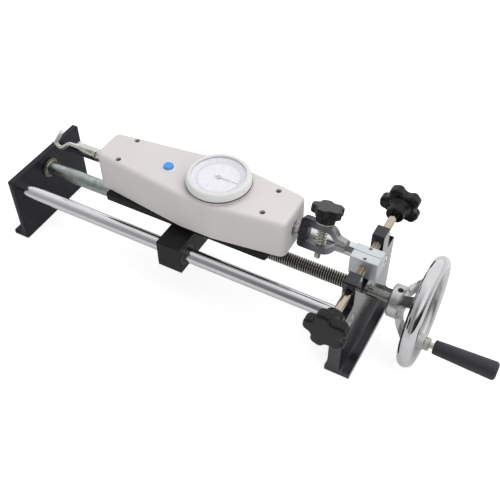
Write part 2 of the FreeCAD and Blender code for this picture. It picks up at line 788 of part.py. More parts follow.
def dial_face():
    disc = rod_z(window_r + window_lip, dial_face_z - dial_face_thick, dial_face_z, dial_x, 0)
    return disc.cut(rod_z(1.6, dial_face_z - 3, dial_face_z + 1, dial_x, 0))


def dial_glass():
    return rod_z(window_r + window_lip, glass_z, glass_z + glass_thick, dial_x, 0)


def pointer():
    z0 = dial_face_z + 0.35
    spindle = rod_z(1.0, dial_boss_top - 5, z0 + 0.4, dial_x, 0)
    hub = turned([(0, 2.2), (0.7, 2.2), (1.1, 1.6)], V(dial_x, 0, z0), axis_up)
    tip = 0.84 * window_r
    needle = [(-6.5, -0.9, 0.5), (0, -0.75, 0), (tip, -0.18, 0), (tip, 0.18, 0), (0, 0.75, 0), (-6.5, 0.9, 0.5)]
    blade = slab(needle, lambda x, y: V(dial_x + x, y, z0 + 0.15), axis_up * 0.35)
    hand = hub.fuse([spindle, blade]).removeSplitter()
    return hand


def button_collar():
    ring = turned([(0, collar_r), (4.0, collar_r), (4.0 + collar_rise - 0.4, collar_r - 0.4)],
                  V(button_x, button_y, case_top - 4), axis_up)
    return ring.cut(rod_z(button_r + run_fit, case_top - 6, case_top + 2, button_x, button_y))


def peak_button():
    z0 = case_top - 5
    h = 5 + button_rise
    return turned([(0, button_r), (h - 1.0, button_r), (h - 0.3, button_r - 0.5), (h, button_r - 1.3)],
                  V(button_x, button_y, z0), axis_up)


def jaw(side):
    y0, y1 = sorted((side * jaw_gap, side * (jaw_gap + jaw_depth)))
    x0 = vise_x - jaw_len / 2
    block = box(x0, x0 + jaw_len, y0, y1, jaw_low, vise_top)
    outer = edges_where(block, lambda e: abs(abs(e.CenterOfMass.y) - jaw_gap - jaw_depth) < 0.01)
    block = block.makeChamfer(0.5, outer)
    end = side * (jaw_gap + jaw_depth)
    deep = side * (jaw_gap + jaw_depth - jaw_bore_depth)
    a, b = sorted((deep, end + side))
    block = block.cut(rod_y(vise_screw_dia / 2 + run_fit, a, b, vise_x, vise_z))
    return block.cut(rod_z(retainer_dia / 2, vise_z, vise_top + 1, vise_x, side * retainer_y))


def jaw_retainer(side):
    r = retainer_dia / 2
    low = vise_z + groove_r + 0.15
    top = low + retainer_len
    pin = turned([(0, r - 0.5), (0.5, r), (retainer_len, r)], V(vise_x, side * retainer_y, low), axis_up)
    socket = rod_z(0.75, top - 1.6, top + 1, vise_x, side * retainer_y)
    return pin.cut(socket)


def vise_screw(side):
    r = vise_screw_dia / 2
    tip = jaw_gap + jaw_depth - jaw_bore_depth + 0.2
    total = neck_start + neck_len - 2 - tip
    near = retainer_y - retainer_dia / 2 - groove_gap - tip
    far = retainer_y + retainer_dia / 2 + groove_gap - tip
    body = turned([
        (0, r - 0.5), (0.5, r), (near, r), (near, groove_r), (far, groove_r), (far, r),
        (total - 0.5, r), (total, r - 0.5),
    ], V(0, tip, 0), axis_y)
    if side < 0:
        body.rotate(V(0, 0, 0), axis_up, 180)
    body.translate(V(vise_x, 0, vise_z))
    return body


def vise_knob(side):
    turn = front_knob_turn if side < 0 else 180.0 - back_knob_turn
    neck = turned([
        (0, neck_r - 1.6), (0.6, neck_r - 1.0), (neck_len - 3, neck_r), (neck_len + 1, neck_r + 2.2),
    ], V(0, neck_start, 0), axis_y)
    y0 = neck_start + neck_len
    pts = star(5, turn, knob_lobe_r + 0.5, knob_valley_r, 15.5, 4.4, 4.6)
    head = slab(pts, lambda x, z: V(-x, y0, z), axis_y * knob_head)
    outer = edges_where(head, lambda e: abs(e.CenterOfMass.y - y0 - knob_head) < 0.01)
    head = head.makeFillet(2.2, outer)
    inner = edges_where(head, lambda e: abs(e.CenterOfMass.y - y0) < 0.01)
    head = head.makeFillet(2.8, inner)
    knob = head.fuse(neck).removeSplitter()
    knob = knob.cut(rod_y(vise_screw_dia / 2, neck_start - 1, neck_start + neck_len - 2, 0, 0))
    if side < 0:
        knob.rotate(V(0, 0, 0), axis_up, 180)
    knob.translate(V(vise_x, 0, vise_z))
    return knob


def build():
    return {
        "left_plate": left_plate(),
        "right_plate": right_plate(),
        "front_rod": guide_rod(-1),
        "back_rod": guide_rod(1),
        "screw_sleeve": screw_sleeve(),
        "left_bush": plain_bush(left_outer, left_inner),
        "right_bush": right_bush(),
        "lead_screw": lead_screw(),
        "handwheel": handwheel(),
        "handle_nut": handle_nut(),
        "handle_spindle": handle_spindle(),
        "handle_grip": handle_grip(),
        "carriage_block": carriage_block(),
        "front_slide_bush": slide_bush(-1),
        "back_slide_bush": slide_bush(1),
        "lead_nut": lead_nut(),
        "platform": platform(),
        "gauge_case": gauge_case(),
        "case_cover": case_cover(),
        "shaft_guide_left": shaft_guide(case_left - 0.8, case_left + 6.0, 0),
        "shaft_guide_right": shaft_guide(case_right - 6.0, case_right + 0.8, 1),
        "button_collar": button_collar(),
        "peak_button": peak_button(),
        "bezel": bezel(),
        "dial_face": dial_face(),
        "dial_glass": dial_glass(),
        "pointer": pointer(),
        "gauge_shaft": gauge_shaft(),
        "hook_lock_nut": hook_lock_nut(),
        "hook_socket": hook_socket(),
        "wire_hook": wire_hook(),
        "yoke_clamp": yoke_clamp(),
        "clamp_spring": clamp_spring(),
        "clamp_washer": clamp_washer(),
        "clamp_screw": clamp_screw(),
        "clamp_knob": clamp_knob(),
        "front_jaw": jaw(-1),
        "back_jaw": jaw(1),
        "front_jaw_retainer": jaw_retainer(-1),
        "back_jaw_retainer": jaw_retainer(1),
        "front_vise_screw": vise_screw(-1),
        "back_vise_screw": vise_screw(1),
        "front_vise_knob": vise_knob(-1),
        "back_vise_knob": vise_knob(1),
    }


os.makedirs("parts", exist_ok=True)
for name, shape in build().items():
    shape.exportStep("parts/" + name + ".step")
    print(name, "valid", shape.isValid(), "solids", len(shape.Solids), "volume", round(shape.Volume, 1))
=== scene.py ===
import json
import math
import bmesh
import bpy
from mathutils import Matrix, Vector


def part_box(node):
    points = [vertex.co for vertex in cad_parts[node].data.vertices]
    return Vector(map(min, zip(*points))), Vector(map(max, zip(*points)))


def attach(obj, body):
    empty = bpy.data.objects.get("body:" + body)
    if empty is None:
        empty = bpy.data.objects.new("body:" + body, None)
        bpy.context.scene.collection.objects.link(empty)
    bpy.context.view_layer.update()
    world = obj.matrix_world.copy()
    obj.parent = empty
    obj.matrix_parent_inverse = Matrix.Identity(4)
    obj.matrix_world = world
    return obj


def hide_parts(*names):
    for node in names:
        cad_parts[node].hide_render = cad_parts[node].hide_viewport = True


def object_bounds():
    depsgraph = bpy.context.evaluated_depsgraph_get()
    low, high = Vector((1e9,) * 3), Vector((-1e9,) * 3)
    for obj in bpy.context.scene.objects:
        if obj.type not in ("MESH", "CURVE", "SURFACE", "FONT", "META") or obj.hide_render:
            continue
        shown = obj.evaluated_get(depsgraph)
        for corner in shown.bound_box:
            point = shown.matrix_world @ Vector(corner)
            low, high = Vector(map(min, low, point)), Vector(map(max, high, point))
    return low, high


# Bench stand for pull and push tests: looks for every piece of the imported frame.
# Metres, +X towards the handwheel, +Y to the back, +Z up.
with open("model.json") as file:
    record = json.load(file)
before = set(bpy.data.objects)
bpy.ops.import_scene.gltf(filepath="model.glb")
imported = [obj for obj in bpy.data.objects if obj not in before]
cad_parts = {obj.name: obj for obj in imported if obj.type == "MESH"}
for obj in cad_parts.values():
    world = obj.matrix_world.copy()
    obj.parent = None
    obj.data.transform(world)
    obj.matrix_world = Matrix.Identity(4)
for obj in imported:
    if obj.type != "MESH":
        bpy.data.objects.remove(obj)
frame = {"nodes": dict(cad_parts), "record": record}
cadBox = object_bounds()
cadNodes = frame["nodes"]
slotOf = {part["node"]: part["material_slot"] for part in frame["record"]["subparts"]}
mm = 0.001
weld = 0.01 * mm
print("stage 1: frame loaded,", len(cadNodes), "nodes")


# small helpers for modelling

def clearSelection():
    bpy.ops.object.select_all(action="DESELECT")


def onlyActive(piece):
    clearSelection()
    piece.select_set(True)
    bpy.context.view_layer.objects.active = piece


def startEditing(piece):
    onlyActive(piece)
    bpy.ops.object.mode_set(mode="EDIT")
    bpy.ops.mesh.select_all(action="DESELECT")


def stopEditing():
    bpy.ops.object.mode_set(mode="OBJECT")


def selectAll():
    bpy.ops.mesh.select_all(action="SELECT")


def selectFaces(piece, test):
    mesh = bmesh.from_edit_mesh(piece.data)
    for face in mesh.faces:
        face.select_set(test(face.calc_center_median(), face.normal))
    bmesh.update_edit_mesh(piece.data)


def selectVertices(piece, test):
    bpy.ops.mesh.select_mode(type="VERT")
    mesh = bmesh.from_edit_mesh(piece.data)
    for vertex in mesh.verts:
        vertex.select_set(test(vertex.co))
    mesh.select_flush_mode()
    bmesh.update_edit_mesh(piece.data)


def named(name):
    piece = bpy.context.active_object
    piece.name = name
    piece.data.name = name
    return piece


def applyPlace(piece):
    onlyActive(piece)
    bpy.ops.object.transform_apply(location=True, rotation=True, scale=True)


def newPiece(name):
    # what was just added, named and with its place applied
    piece = named(name)
    applyPlace(piece)
    return piece


def centreOf(node):
    low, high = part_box(node)
    return (low + high) / 2


def applyModifiers(piece):
    onlyActive(piece)
    for modifier in list(piece.modifiers):
        bpy.ops.object.modifier_apply(modifier=modifier.name)


def smoothByAngle(piece, degrees=35):
    onlyActive(piece)
    bpy.ops.object.shade_smooth_by_angle(angle=math.radians(degrees))


def joinPieces(name, pieces):
    clearSelection()
    for piece in pieces:
        piece.select_set(True)
    bpy.context.view_layer.objects.active = pieces[0]
    if len(pieces) > 1:
        bpy.ops.object.join()
    return named(name)


def copyOf(piece, name):
    twin = piece.copy()
    twin.data = piece.data.copy()
    twin.name = name
    twin.data.name = name
    bpy.context.scene.collection.objects.link(twin)
    return twin


def closeSkin(piece, sides=0):
    # open ends of up to that many sides are filled, all normals turned outwards
    startEditing(piece)
    selectAll()
    if sides:
        bpy.ops.mesh.fill_holes(sides=sides)
    bpy.ops.mesh.normals_make_consistent(inside=False)
    stopEditing()


def easeEdges(piece, width, degrees):
    # small round on every edge that turns more than the angle
    easing = piece.modifiers.new("easing", "BEVEL")
    easing.width = width
    easing.segments = 2
    easing.limit_method = "ANGLE"
    easing.angle_limit = math.radians(degrees)
    applyModifiers(piece)


def windRound(piece, steps, turns=1, rise=0.0, merge=False):
    # outline swept round Z, climbing by the rise at each turn
    winding = piece.modifiers.new("winding", "SCREW")
    winding.axis = "Z"
    winding.screw_offset = rise
    winding.iterations = turns
    winding.steps = steps
    winding.render_steps = steps
    winding.use_merge_vertices = merge
    winding.merge_threshold = weld
    applyModifiers(piece)


def roundRod(name, radius, start, stop, sides=48, bevel=0.0):
    # rod along Z, its rims eased by a bevel
    clearSelection()
    bpy.ops.mesh.primitive_cylinder_add(vertices=sides, radius=radius, depth=stop - start,
                                        location=(0, 0, (start + stop) / 2))
    rod = newPiece(name)
    if bevel:
        easeEdges(rod, bevel, 50)
    return rod


ridge = {"sunk": 0.15, "foot": 0.86, "crown": 0.34, "steps": 24}


def threadRidge(screw, start, stop):
    # one tooth screwed along Z round the core: sunk and foot are shares of the pitch, crown of the foot
    crest, pitch = screw["crest"], screw["pitch"]
    depth = crest - screw["root"] + ridge["sunk"] * pitch
    clearSelection()
    bpy.ops.mesh.primitive_plane_add(size=1, location=(crest - depth / 2, 0, start),
                                     rotation=(math.radians(90), 0, 0))
    tooth = named("ridge")
    tooth.scale = (depth, ridge["foot"] * pitch, 1)
    applyPlace(tooth)
    startEditing(tooth)
    selectVertices(tooth, lambda co: co.x > crest - depth / 2)
    bpy.ops.transform.resize(value=(1, 1, ridge["crown"]), center_override=(crest, 0, start))
    selectAll()
    bpy.ops.mesh.delete(type="ONLY_FACE")
    stopEditing()
    windRound(tooth, ridge["steps"], int((stop - start) / pitch), pitch)
    closeSkin(tooth, 4)
    return tooth


def turnTo(piece, axis, origin):
    # from its own Z axis to the wanted one, then to its place
    turn = Vector((0, 0, 1)).rotation_difference(axis)
    piece.matrix_world = Matrix.Translation(origin) @ turn.to_matrix().to_4x4()
    applyPlace(piece)


def cutOut(piece, tool):
    cut = piece.modifiers.new("cut", "BOOLEAN")
    cut.operation = "DIFFERENCE"
    cut.object = tool
    cut.solver = "EXACT"
    applyModifiers(piece)
    bpy.data.objects.remove(tool)


# heads of screws, in shares of their radius
headShares = {"socketEase": 0.09, "crossEase": 0.35, "crossLong": 1.25, "sides": 32}


def socketScrew(name, screw):
    # head with a hexagon socket, its top at Z = 0
    head = roundRod(name, screw["radius"], -screw["height"], 0, sides=headShares["sides"],
                    bevel=headShares["socketEase"] * screw["radius"])
    clearSelection()
    bpy.ops.mesh.primitive_cylinder_add(vertices=6, radius=screw["key"], depth=2 * screw["keyDepth"],
                                        location=(0, 0, 0))
    cutOut(head, named(name + "Key"))
    smoothByAngle(head)
    return head


def crossScrew(name, screw):
    # domed head with a cross recess, its top at Z = 0
    head = roundRod(name, screw["radius"], -screw["height"], 0, sides=headShares["sides"],
                    bevel=headShares["crossEase"] * screw["radius"])
    clearSelection()
    bars = []
    for turn in (0, 90):
        bpy.ops.mesh.primitive_cube_add(size=1, location=(0, 0, 0), rotation=(0, 0, math.radians(turn)),
                                        scale=(headShares["crossLong"] * screw["radius"], screw["cross"],
                                               2 * screw["crossDepth"]))
        bars.append(bpy.context.active_object)
    for bar in bars:
        cutOut(head, bar)
    smoothByAngle(head)
    return head


# shader groups shared by the finishes

def newGroup(name, inputs, outputs):
    group = bpy.data.node_groups.new(name, "ShaderNodeTree")
    for label, kind, value in inputs:
        group.interface.new_socket(name=label, in_out="INPUT", socket_type=kind).default_value = value
    for label, kind in outputs:
        group.interface.new_socket(name=label, in_out="OUTPUT", socket_type=kind)
    return group, group.nodes.new("NodeGroupInput"), group.nodes.new("NodeGroupOutput")


def mathNode(tree, operation, first, second):
    node = tree.nodes.new("ShaderNodeMath")
    node.operation = operation
    node.use_clamp = True
    for index, value in enumerate((first, second)):
        if isinstance(value, (int, float)):
            node.inputs[index].default_value = value
        else:
            tree.links.new(value, node.inputs[index])
    return node.outputs[0]


def spread(tree, value, fromLow, fromHigh, toLow=0.0, toHigh=1.0):
    node = tree.nodes.new("ShaderNodeMapRange")
    tree.links.new(value, node.inputs["Value"])
    node.inputs["From Min"].default_value = fromLow
    node.inputs["From Max"].default_value = fromHigh
    node.inputs["To Min"].default_value = toLow
    node.inputs["To Max"].default_value = toHigh
    return node.outputs["Result"]


# part of the noise in use, its shares in the gloss, and the turns from flat to a sharp edge
noiseSpan = (0.3, 0.7)
glossShares = {"broad": 0.6, "fine": 0.4}
edgeTurn = {"flat": 0.995, "sharp": 0.8}


def surfaceGroup():
    # fine grain, broad clouds and drawn streaks in one: tone for colour, gloss for roughness, height for bump
    group, entry, leave = newGroup("surfaceTexture", [
        ("Fine Scale", "NodeSocketFloat", 900.0), ("Broad Scale", "NodeSocketFloat", 40.0),
        ("Streak Stretch", "NodeSocketVector", (1.0, 1.0, 1.0)), ("Streak Share", "NodeSocketFloat", 0.0),
    ], [("Tone", "NodeSocketFloat"), ("Gloss", "NodeSocketFloat"), ("Height", "NodeSocketFloat")])
    place = group.nodes.new("ShaderNodeTexCoord").outputs["Object"]
    noises = []
    for label, detail in (("Fine Scale", 3.0), ("Broad Scale", 5.0)):
        noise = group.nodes.new("ShaderNodeTexNoise")
        noise.inputs["Detail"].default_value = detail
        group.links.new(place, noise.inputs["Vector"])
        group.links.new(entry.outputs[label], noise.inputs["Scale"])
        noises.append(noise.outputs["Fac"])
    stretch = group.nodes.new("ShaderNodeVectorMath")
    stretch.operation = "MULTIPLY"
    group.links.new(place, stretch.inputs[0])
    group.links.new(entry.outputs["Streak Stretch"], stretch.inputs[1])
    drawn = group.nodes.new("ShaderNodeTexNoise")
    drawn.inputs["Scale"].default_value = 1.0
    drawn.inputs["Detail"].default_value = 4.0
    group.links.new(stretch.outputs[0], drawn.inputs["Vector"])
    fine = spread(group, noises[0], *noiseSpan)
    broad = spread(group, noises[1], *noiseSpan)
    streak = spread(group, drawn.outputs["Fac"], *noiseSpan)
    share = entry.outputs["Streak Share"]
    streaks = mathNode(group, "MULTIPLY", streak, share)
    rest = mathNode(group, "SUBTRACT", 1.0, share)
    tone = mathNode(group, "ADD", mathNode(group, "MULTIPLY", broad, rest), streaks)
    fines = mathNode(group, "ADD", mathNode(group, "MULTIPLY", fine, rest), streaks)
    gloss = mathNode(group, "ADD", mathNode(group, "MULTIPLY", tone, glossShares["broad"]),
                     mathNode(group, "MULTIPLY", fines, glossShares["fine"]))
    for label, value in (("Tone", tone), ("Gloss", gloss), ("Height", fines)):
        group.links.new(value, leave.inputs[label])
    return group


def edgeGroup():
    # where the surface turns sharply: a mask of the edges and a normal that rounds them
    group, entry, leave = newGroup("softEdges", [("Radius", "NodeSocketFloat", 0.0004)],
                                   [("Mask", "NodeSocketFloat"), ("Normal", "NodeSocketVector")])
    rounding = group.nodes.new("ShaderNodeBevel")
    rounding.samples = 4
    group.links.new(entry.outputs["Radius"], rounding.inputs["Radius"])
    facing = group.nodes.new("ShaderNodeNewGeometry")
    meet = group.nodes.new("ShaderNodeVectorMath")
    meet.operation = "DOT_PRODUCT"
    group.links.new(rounding.outputs[0], meet.inputs[0])
    group.links.new(facing.outputs["Normal"], meet.inputs[1])
    turned = spread(group, meet.outputs["Value"], edgeTurn["flat"], edgeTurn["sharp"])
    group.links.new(turned, leave.inputs["Mask"])
    group.links.new(rounding.outputs[0], leave.inputs["Normal"])
    return group


surfaceTexture = surfaceGroup()
softEdges = edgeGroup()


def makeFinish(name, look):
    material = bpy.data.materials.new(name)
    material.use_nodes = True
    tree = material.node_tree
    shader = tree.nodes["Principled BSDF"]
    for socket, key, usual in (("Metallic", "metal", 0.0), ("IOR", "ior", 1.5), ("Coat Weight", "coat", 0.0),
                               ("Coat Roughness", "coatRough", 0.1), ("Specular IOR Level", "specular", 0.5)):
        shader.inputs[socket].default_value = look.get(key, usual)
    texture = tree.nodes.new("ShaderNodeGroup")
    texture.node_tree = surfaceTexture
    texture.inputs["Fine Scale"].default_value = look["fineScale"]
    texture.inputs["Broad Scale"].default_value = look["broadScale"]
    texture.inputs["Streak Stretch"].default_value = look.get("streakStretch", (1, 1, 1))
    texture.inputs["Streak Share"].default_value = look.get("streakShare", 0.0)
    edges = tree.nodes.new("ShaderNodeGroup")
    edges.node_tree = softEdges
    edges.inputs["Radius"].default_value = look.get("edgeRadius", 0.0004)
    blend = tree.nodes.new("ShaderNodeMix")
    blend.data_type = "RGBA"
    blend.inputs["A"].default_value = (*look["colour"], 1)
    blend.inputs["B"].default_value = (*look["second"], 1)
    tree.links.new(texture.outputs["Tone"], blend.inputs["Factor"])
    # edges blend towards the edge colour: a painted highlight where that colour is lighter than the surface,
    # a painted shade where it is darker; the tone of the grain sets how much
    edgeShaded = tree.nodes.new("ShaderNodeMix")
    edgeShaded.data_type = "RGBA"
    edgeShaded.inputs["B"].default_value = (*look.get("edgeColour", look["second"]), 1)
    tree.links.new(blend.outputs["Result"], edgeShaded.inputs["A"])
    edgeShadeShare = mathNode(tree, "MULTIPLY", edges.outputs["Mask"],
                    mathNode(tree, "MULTIPLY", texture.outputs["Tone"], look.get("edgeShading", 0.5)))
    tree.links.new(edgeShadeShare, edgeShaded.inputs["Factor"])
    tree.links.new(edgeShaded.outputs["Result"], shader.inputs["Base Color"])
    low, high = look["rough"]
    tree.links.new(spread(tree, texture.outputs["Gloss"], 0, 1, low, high), shader.inputs["Roughness"])
    bump = tree.nodes.new("ShaderNodeBump")
    bump.inputs["Strength"].default_value = look.get("bump", 0.1)
    bump.inputs["Distance"].default_value = look.get("bumpDepth", 0.00005)
    tree.links.new(texture.outputs["Height"], bump.inputs["Height"])
    tree.links.new(edges.outputs["Normal"], bump.inputs["Normal"])
    tree.links.new(bump.outputs["Normal"], shader.inputs["Normal"])
    return material


# finishes, one dictionary for each

# edgeColour and edgeShading below set painted edge light: lighter edges are painted highlights, the button's
# darker edge is painted shade; without edgeColour the second tone is used
enamelLook = {"colour": (0.0100, 0.0090, 0.0160), "second": (0.0160, 0.0148, 0.0225), "rough": (0.2, 0.32),
              "fineScale": 1500, "broadScale": 60, "bump": 0.06, "specular": 0.2, "coat": 0.05,
              "coatRough": 0.2, "edgeColour": (0.05, 0.05, 0.06), "edgeShading": 0.8}
glossyEnamelLook = {**enamelLook, "rough": (0.17, 0.26), "coat": 0.9, "coatRough": 0.12}
chromeLook = {"colour": (0.80, 0.80, 0.825), "second": (0.70, 0.70, 0.725), "rough": (0.09, 0.17),
              "metal": 1.0, "fineScale": 1200, "broadScale": 50, "streakStretch": (1400, 90, 90),
              "streakShare": 0.6, "bump": 0.03, "edgeShading": 0.0}
sleeveLook = {"colour": (0.29, 0.33, 0.32), "second": (0.58, 0.63, 0.61), "rough": (0.26, 0.42), "metal": 1.0,
              "fineScale": 420, "broadScale": 330, "streakStretch": (30, 420, 420), "streakShare": 0.35,
              "bump": 0.16, "edgeShading": 0.2}
bronzeLook = {"colour": (0.10, 0.075, 0.045), "second": (0.17, 0.13, 0.08), "rough": (0.28, 0.45),
              "metal": 1.0, "fineScale": 900, "broadScale": 90, "bump": 0.1}
screwLook = {"colour": (0.46, 0.45, 0.41), "second": (0.64, 0.63, 0.58), "rough": (0.2, 0.34), "metal": 1.0,
             "fineScale": 700, "broadScale": 70, "streakStretch": (60, 900, 900), "streakShare": 0.3,
             "bump": 0.05}
wheelLook = {"colour": (0.76, 0.76, 0.77), "second": (0.65, 0.65, 0.67), "rough": (0.035, 0.08), "metal": 1.0,
             "fineScale": 700, "broadScale": 60, "bump": 0.04, "edgeShading": 0.1}
smallSteelLook = {"colour": (0.62, 0.61, 0.54), "second": (0.78, 0.77, 0.70), "rough": (0.2, 0.36),
                  "metal": 1.0, "fineScale": 900, "broadScale": 120, "bump": 0.08,
                  "edgeColour": (0.85, 0.85, 0.8)}
gripLook = {"colour": (0.026, 0.027, 0.033), "second": (0.038, 0.039, 0.046), "rough": (0.36, 0.5),
            "fineScale": 1600, "broadScale": 60, "bump": 0.22, "edgeColour": (0.09, 0.09, 0.1),
            "specular": 0.4}
carriageLook = {"colour": (0.008, 0.008, 0.009), "second": (0.014, 0.014, 0.016), "rough": (0.34, 0.5),
                "fineScale": 1700, "broadScale": 70, "bump": 0.15, "edgeColour": (0.06, 0.06, 0.066),
                "edgeShading": 0.9, "specular": 0.22}
bushLook = {"colour": (0.02, 0.02, 0.022), "second": (0.035, 0.035, 0.038), "rough": (0.35, 0.5),
            "fineScale": 1100, "broadScale": 90, "bump": 0.1}
caseLook = {"colour": (0.80, 0.755, 0.755), "second": (0.775, 0.73, 0.73), "rough": (0.36, 0.46),
            "fineScale": 1300, "broadScale": 22, "bump": 0.10, "edgeRadius": 0.0004, "edgeShading": 0.3,
            "edgeColour": (0.84, 0.80, 0.80), "coat": 0.08}
trimLook = {"colour": (0.92, 0.92, 0.92), "second": (0.87, 0.87, 0.87), "rough": (0.3, 0.42),
            "fineScale": 1300, "broadScale": 60, "bump": 0.06}
guideLook = {"colour": (0.30, 0.295, 0.28), "second": (0.46, 0.45, 0.43), "rough": (0.2, 0.34), "metal": 1.0,
             "fineScale": 900, "broadScale": 90, "bump": 0.06}
buttonLook = {"colour": (0.05, 0.30, 0.80), "second": (0.07, 0.35, 0.86), "rough": (0.2, 0.3),
              "fineScale": 1200, "broadScale": 200, "bump": 0.05, "edgeColour": (0.02, 0.16, 0.5),
              "edgeRadius": 0.0007, "edgeShading": 0.8, "coat": 0.5}
bezelLook = {"colour": (0.84, 0.85, 0.84), "second": (0.80, 0.81, 0.80), "rough": (0.24, 0.34),
             "fineScale": 1100, "broadScale": 50, "bump": 0.04, "coat": 0.2}
dialLook = {"colour": (0.92, 0.905, 0.95), "second": (0.89, 0.875, 0.92), "rough": (0.42, 0.52),
            "fineScale": 1500, "broadScale": 80, "bump": 0.03}
printLook = {"colour": (0.66, 0.50, 0.62), "second": (0.72, 0.57, 0.68), "rough": (0.4, 0.5),
             "fineScale": 1500, "broadScale": 200, "bump": 0.0}
pointerLook = {"colour": (0.36, 0.33, 0.42), "second": (0.44, 0.41, 0.5), "rough": (0.35, 0.45),
               "fineScale": 1200, "broadScale": 200, "bump": 0.02}
shaftLook = {"colour": (0.6, 0.6, 0.6), "second": (0.74, 0.74, 0.74), "rough": (0.14, 0.26), "metal": 1.0,
             "fineScale": 900, "broadScale": 90, "streakStretch": (900, 60, 60), "streakShare": 0.5,
             "bump": 0.04}
hookLook = {"colour": (0.74, 0.73, 0.69), "second": (0.84, 0.82, 0.79), "rough": (0.2, 0.32), "metal": 1.0,
            "fineScale": 800, "broadScale": 130, "bump": 0.05}
yokeLook = {"colour": (0.15, 0.15, 0.17), "second": (0.23, 0.23, 0.25), "rough": (0.28, 0.42), "metal": 1.0,
            "fineScale": 900, "broadScale": 110, "bump": 0.12, "edgeColour": (0.75, 0.75, 0.78),
            "edgeShading": 0.9}
jawLook = {"colour": (0.62, 0.66, 0.68), "second": (0.74, 0.78, 0.80), "rough": (0.3, 0.44), "metal": 0.85,
           "fineScale": 800, "broadScale": 60, "streakStretch": (60, 900, 900), "streakShare": 0.4,
           "bump": 0.07, "edgeColour": (0.9, 0.92, 0.93), "edgeShading": 0.9}
viseScrewLook = {"colour": (0.48, 0.42, 0.33), "second": (0.62, 0.56, 0.46), "rough": (0.07, 0.15),
                 "metal": 1.0, "fineScale": 900, "broadScale": 100, "streakStretch": (500, 40, 500),
                 "streakShare": 0.5, "bump": 0.05}
knobLook = {"colour": (0.0055, 0.0055, 0.006), "second": (0.009, 0.009, 0.010), "rough": (0.13, 0.23),
            "fineScale": 1500, "broadScale": 70, "bump": 0.04, "edgeColour": (0.10, 0.10, 0.105),
            "edgeShading": 0.9, "specular": 0.3}
blackenedLook = {"colour": (0.12, 0.11, 0.08), "second": (0.20, 0.19, 0.14), "rough": (0.3, 0.5),
                 "metal": 0.8, "fineScale": 900, "broadScale": 200, "bump": 0.08}
# dark colour of the ring that paints the shadow line under the turning ring
shadowLineLook = {"colour": (0.07, 0.068, 0.064), "second": (0.1, 0.098, 0.094), "rough": (0.5, 0.7),
            "fineScale": 1400, "broadScale": 150, "bump": 0.1}

finishes = {
    "black_enamel": makeFinish("blackEnamel", enamelLook),
    "chrome_rod": makeFinish("hardChrome", chromeLook),
    "sleeve_steel": makeFinish("zincSleeve", sleeveLook),
    "bearing_bronze": makeFinish("bearingBronze", bronzeLook),
    "screw_steel": makeFinish("screwSteel", screwLook),
    "wheel_chrome": makeFinish("wheelChrome", wheelLook),
    "small_steel": makeFinish("smallSteel", smallSteelLook),
    "black_grip": makeFinish("blackGrip", gripLook),
    "carriage_black": makeFinish("carriageBlack", carriageLook),
    "bush_black": makeFinish("bushBlack", bushLook),
    "case_white": makeFinish("caseWhite", caseLook),
    "trim_white": makeFinish("trimWhite", trimLook),
    "guide_steel": makeFinish("guideSteel", guideLook),
    "button_blue": makeFinish("buttonBlue", buttonLook),
    "bezel_white": makeFinish("bezelWhite", bezelLook),
    "dial_white": makeFinish("dialWhite", dialLook),
    "pointer_black": makeFinish("pointerBlack", pointerLook),
    "shaft_steel": makeFinish("shaftSteel", shaftLook),
    "hook_chrome": makeFinish("hookChrome", hookLook),
    "yoke_grey": makeFinish("yokeGrey", yokeLook),
    "jaw_zinc": makeFinish("jawZinc", jawLook),
    "vise_screw_nickel": makeFinish("viseScrewNickel", viseScrewLook),
    "knob_black": makeFinish("knobBlack", knobLook),
}
dialPrint = makeFinish("dialPrint", printLook)
shadowLineDark = makeFinish("shadowLineDark", shadowLineLook)
blackenedSteel = makeFinish("blackenedSteel", blackenedLook)


def makeGlass(name, look):
    # thin clear pane: mostly see-through, its sheen kept by a low alpha; the pale colour at that alpha is a
    # painted white sheen over the real gloss, and shadow rays pass it
    material = bpy.data.materials.new(name)
    material.use_nodes = True
    tree = material.node_tree
    shader = tree.nodes["Principled BSDF"]
    shader.inputs["Base Color"].default_value = (*look["colour"], 1)
    shader.inputs["IOR"].default_value = look["ior"]
    texture = tree.nodes.new("ShaderNodeGroup")
    texture.node_tree = surfaceTexture
    texture.inputs["Fine Scale"].default_value = look["fineScale"]
    texture.inputs["Broad Scale"].default_value = look["broadScale"]
    tree.links.new(spread(tree, texture.outputs["Tone"], 0, 1, *look["rough"]), shader.inputs["Roughness"])
    unshaded = mathNode(tree, "SUBTRACT", 1.0, tree.nodes.new("ShaderNodeLightPath").outputs["Is Shadow Ray"])
    paintedSheen = mathNode(tree, "MULTIPLY", spread(tree, texture.outputs["Gloss"], 0, 1, *look["alpha"]), unshaded)
    tree.links.new(paintedSheen, shader.inputs["Alpha"])
    return material


glassLook = {"colour": (0.96, 0.96, 1.0), "ior": 1.45, "fineScale": 300, "broadScale": 60,
             "rough": (0.02, 0.06), "alpha": (0.18, 0.24)}
finishes["dial_glass"] = makeGlass("dialGlass", glassLook)


def socketMix(tree, kind, factor, first, second):
    # mix of two sockets or values; kind is FLOAT or RGBA
    node = tree.nodes.new("ShaderNodeMix")
    node.data_type = kind
    live = [socket for socket in node.inputs if socket.enabled]
    for socket, value in zip(live, (factor, first, second)):
        if isinstance(value, bpy.types.NodeSocket):
            tree.links.new(value, socket)
        else:
            socket.default_value = value
    return [socket for socket in node.outputs if socket.enabled][0]


def axisDistance(tree, centre, keep):
    # distance from a line through the centre; keep has 0 on the line's own axis
    place = tree.nodes.new("ShaderNodeTexCoord").outputs["Object"]
    shift = tree.nodes.new("ShaderNodeMapping")
    shift.inputs["Location"].default_value = [-a * k for a, k in zip(centre, keep)]
    shift.inputs["Scale"].default_value = keep
    tree.links.new(place, shift.inputs["Vector"])
    reach = tree.nodes.new("ShaderNodeVectorMath")
    reach.operation = "LENGTH"
    tree.links.new(shift.outputs["Vector"], reach.inputs[0])
    return reach.outputs["Value"]


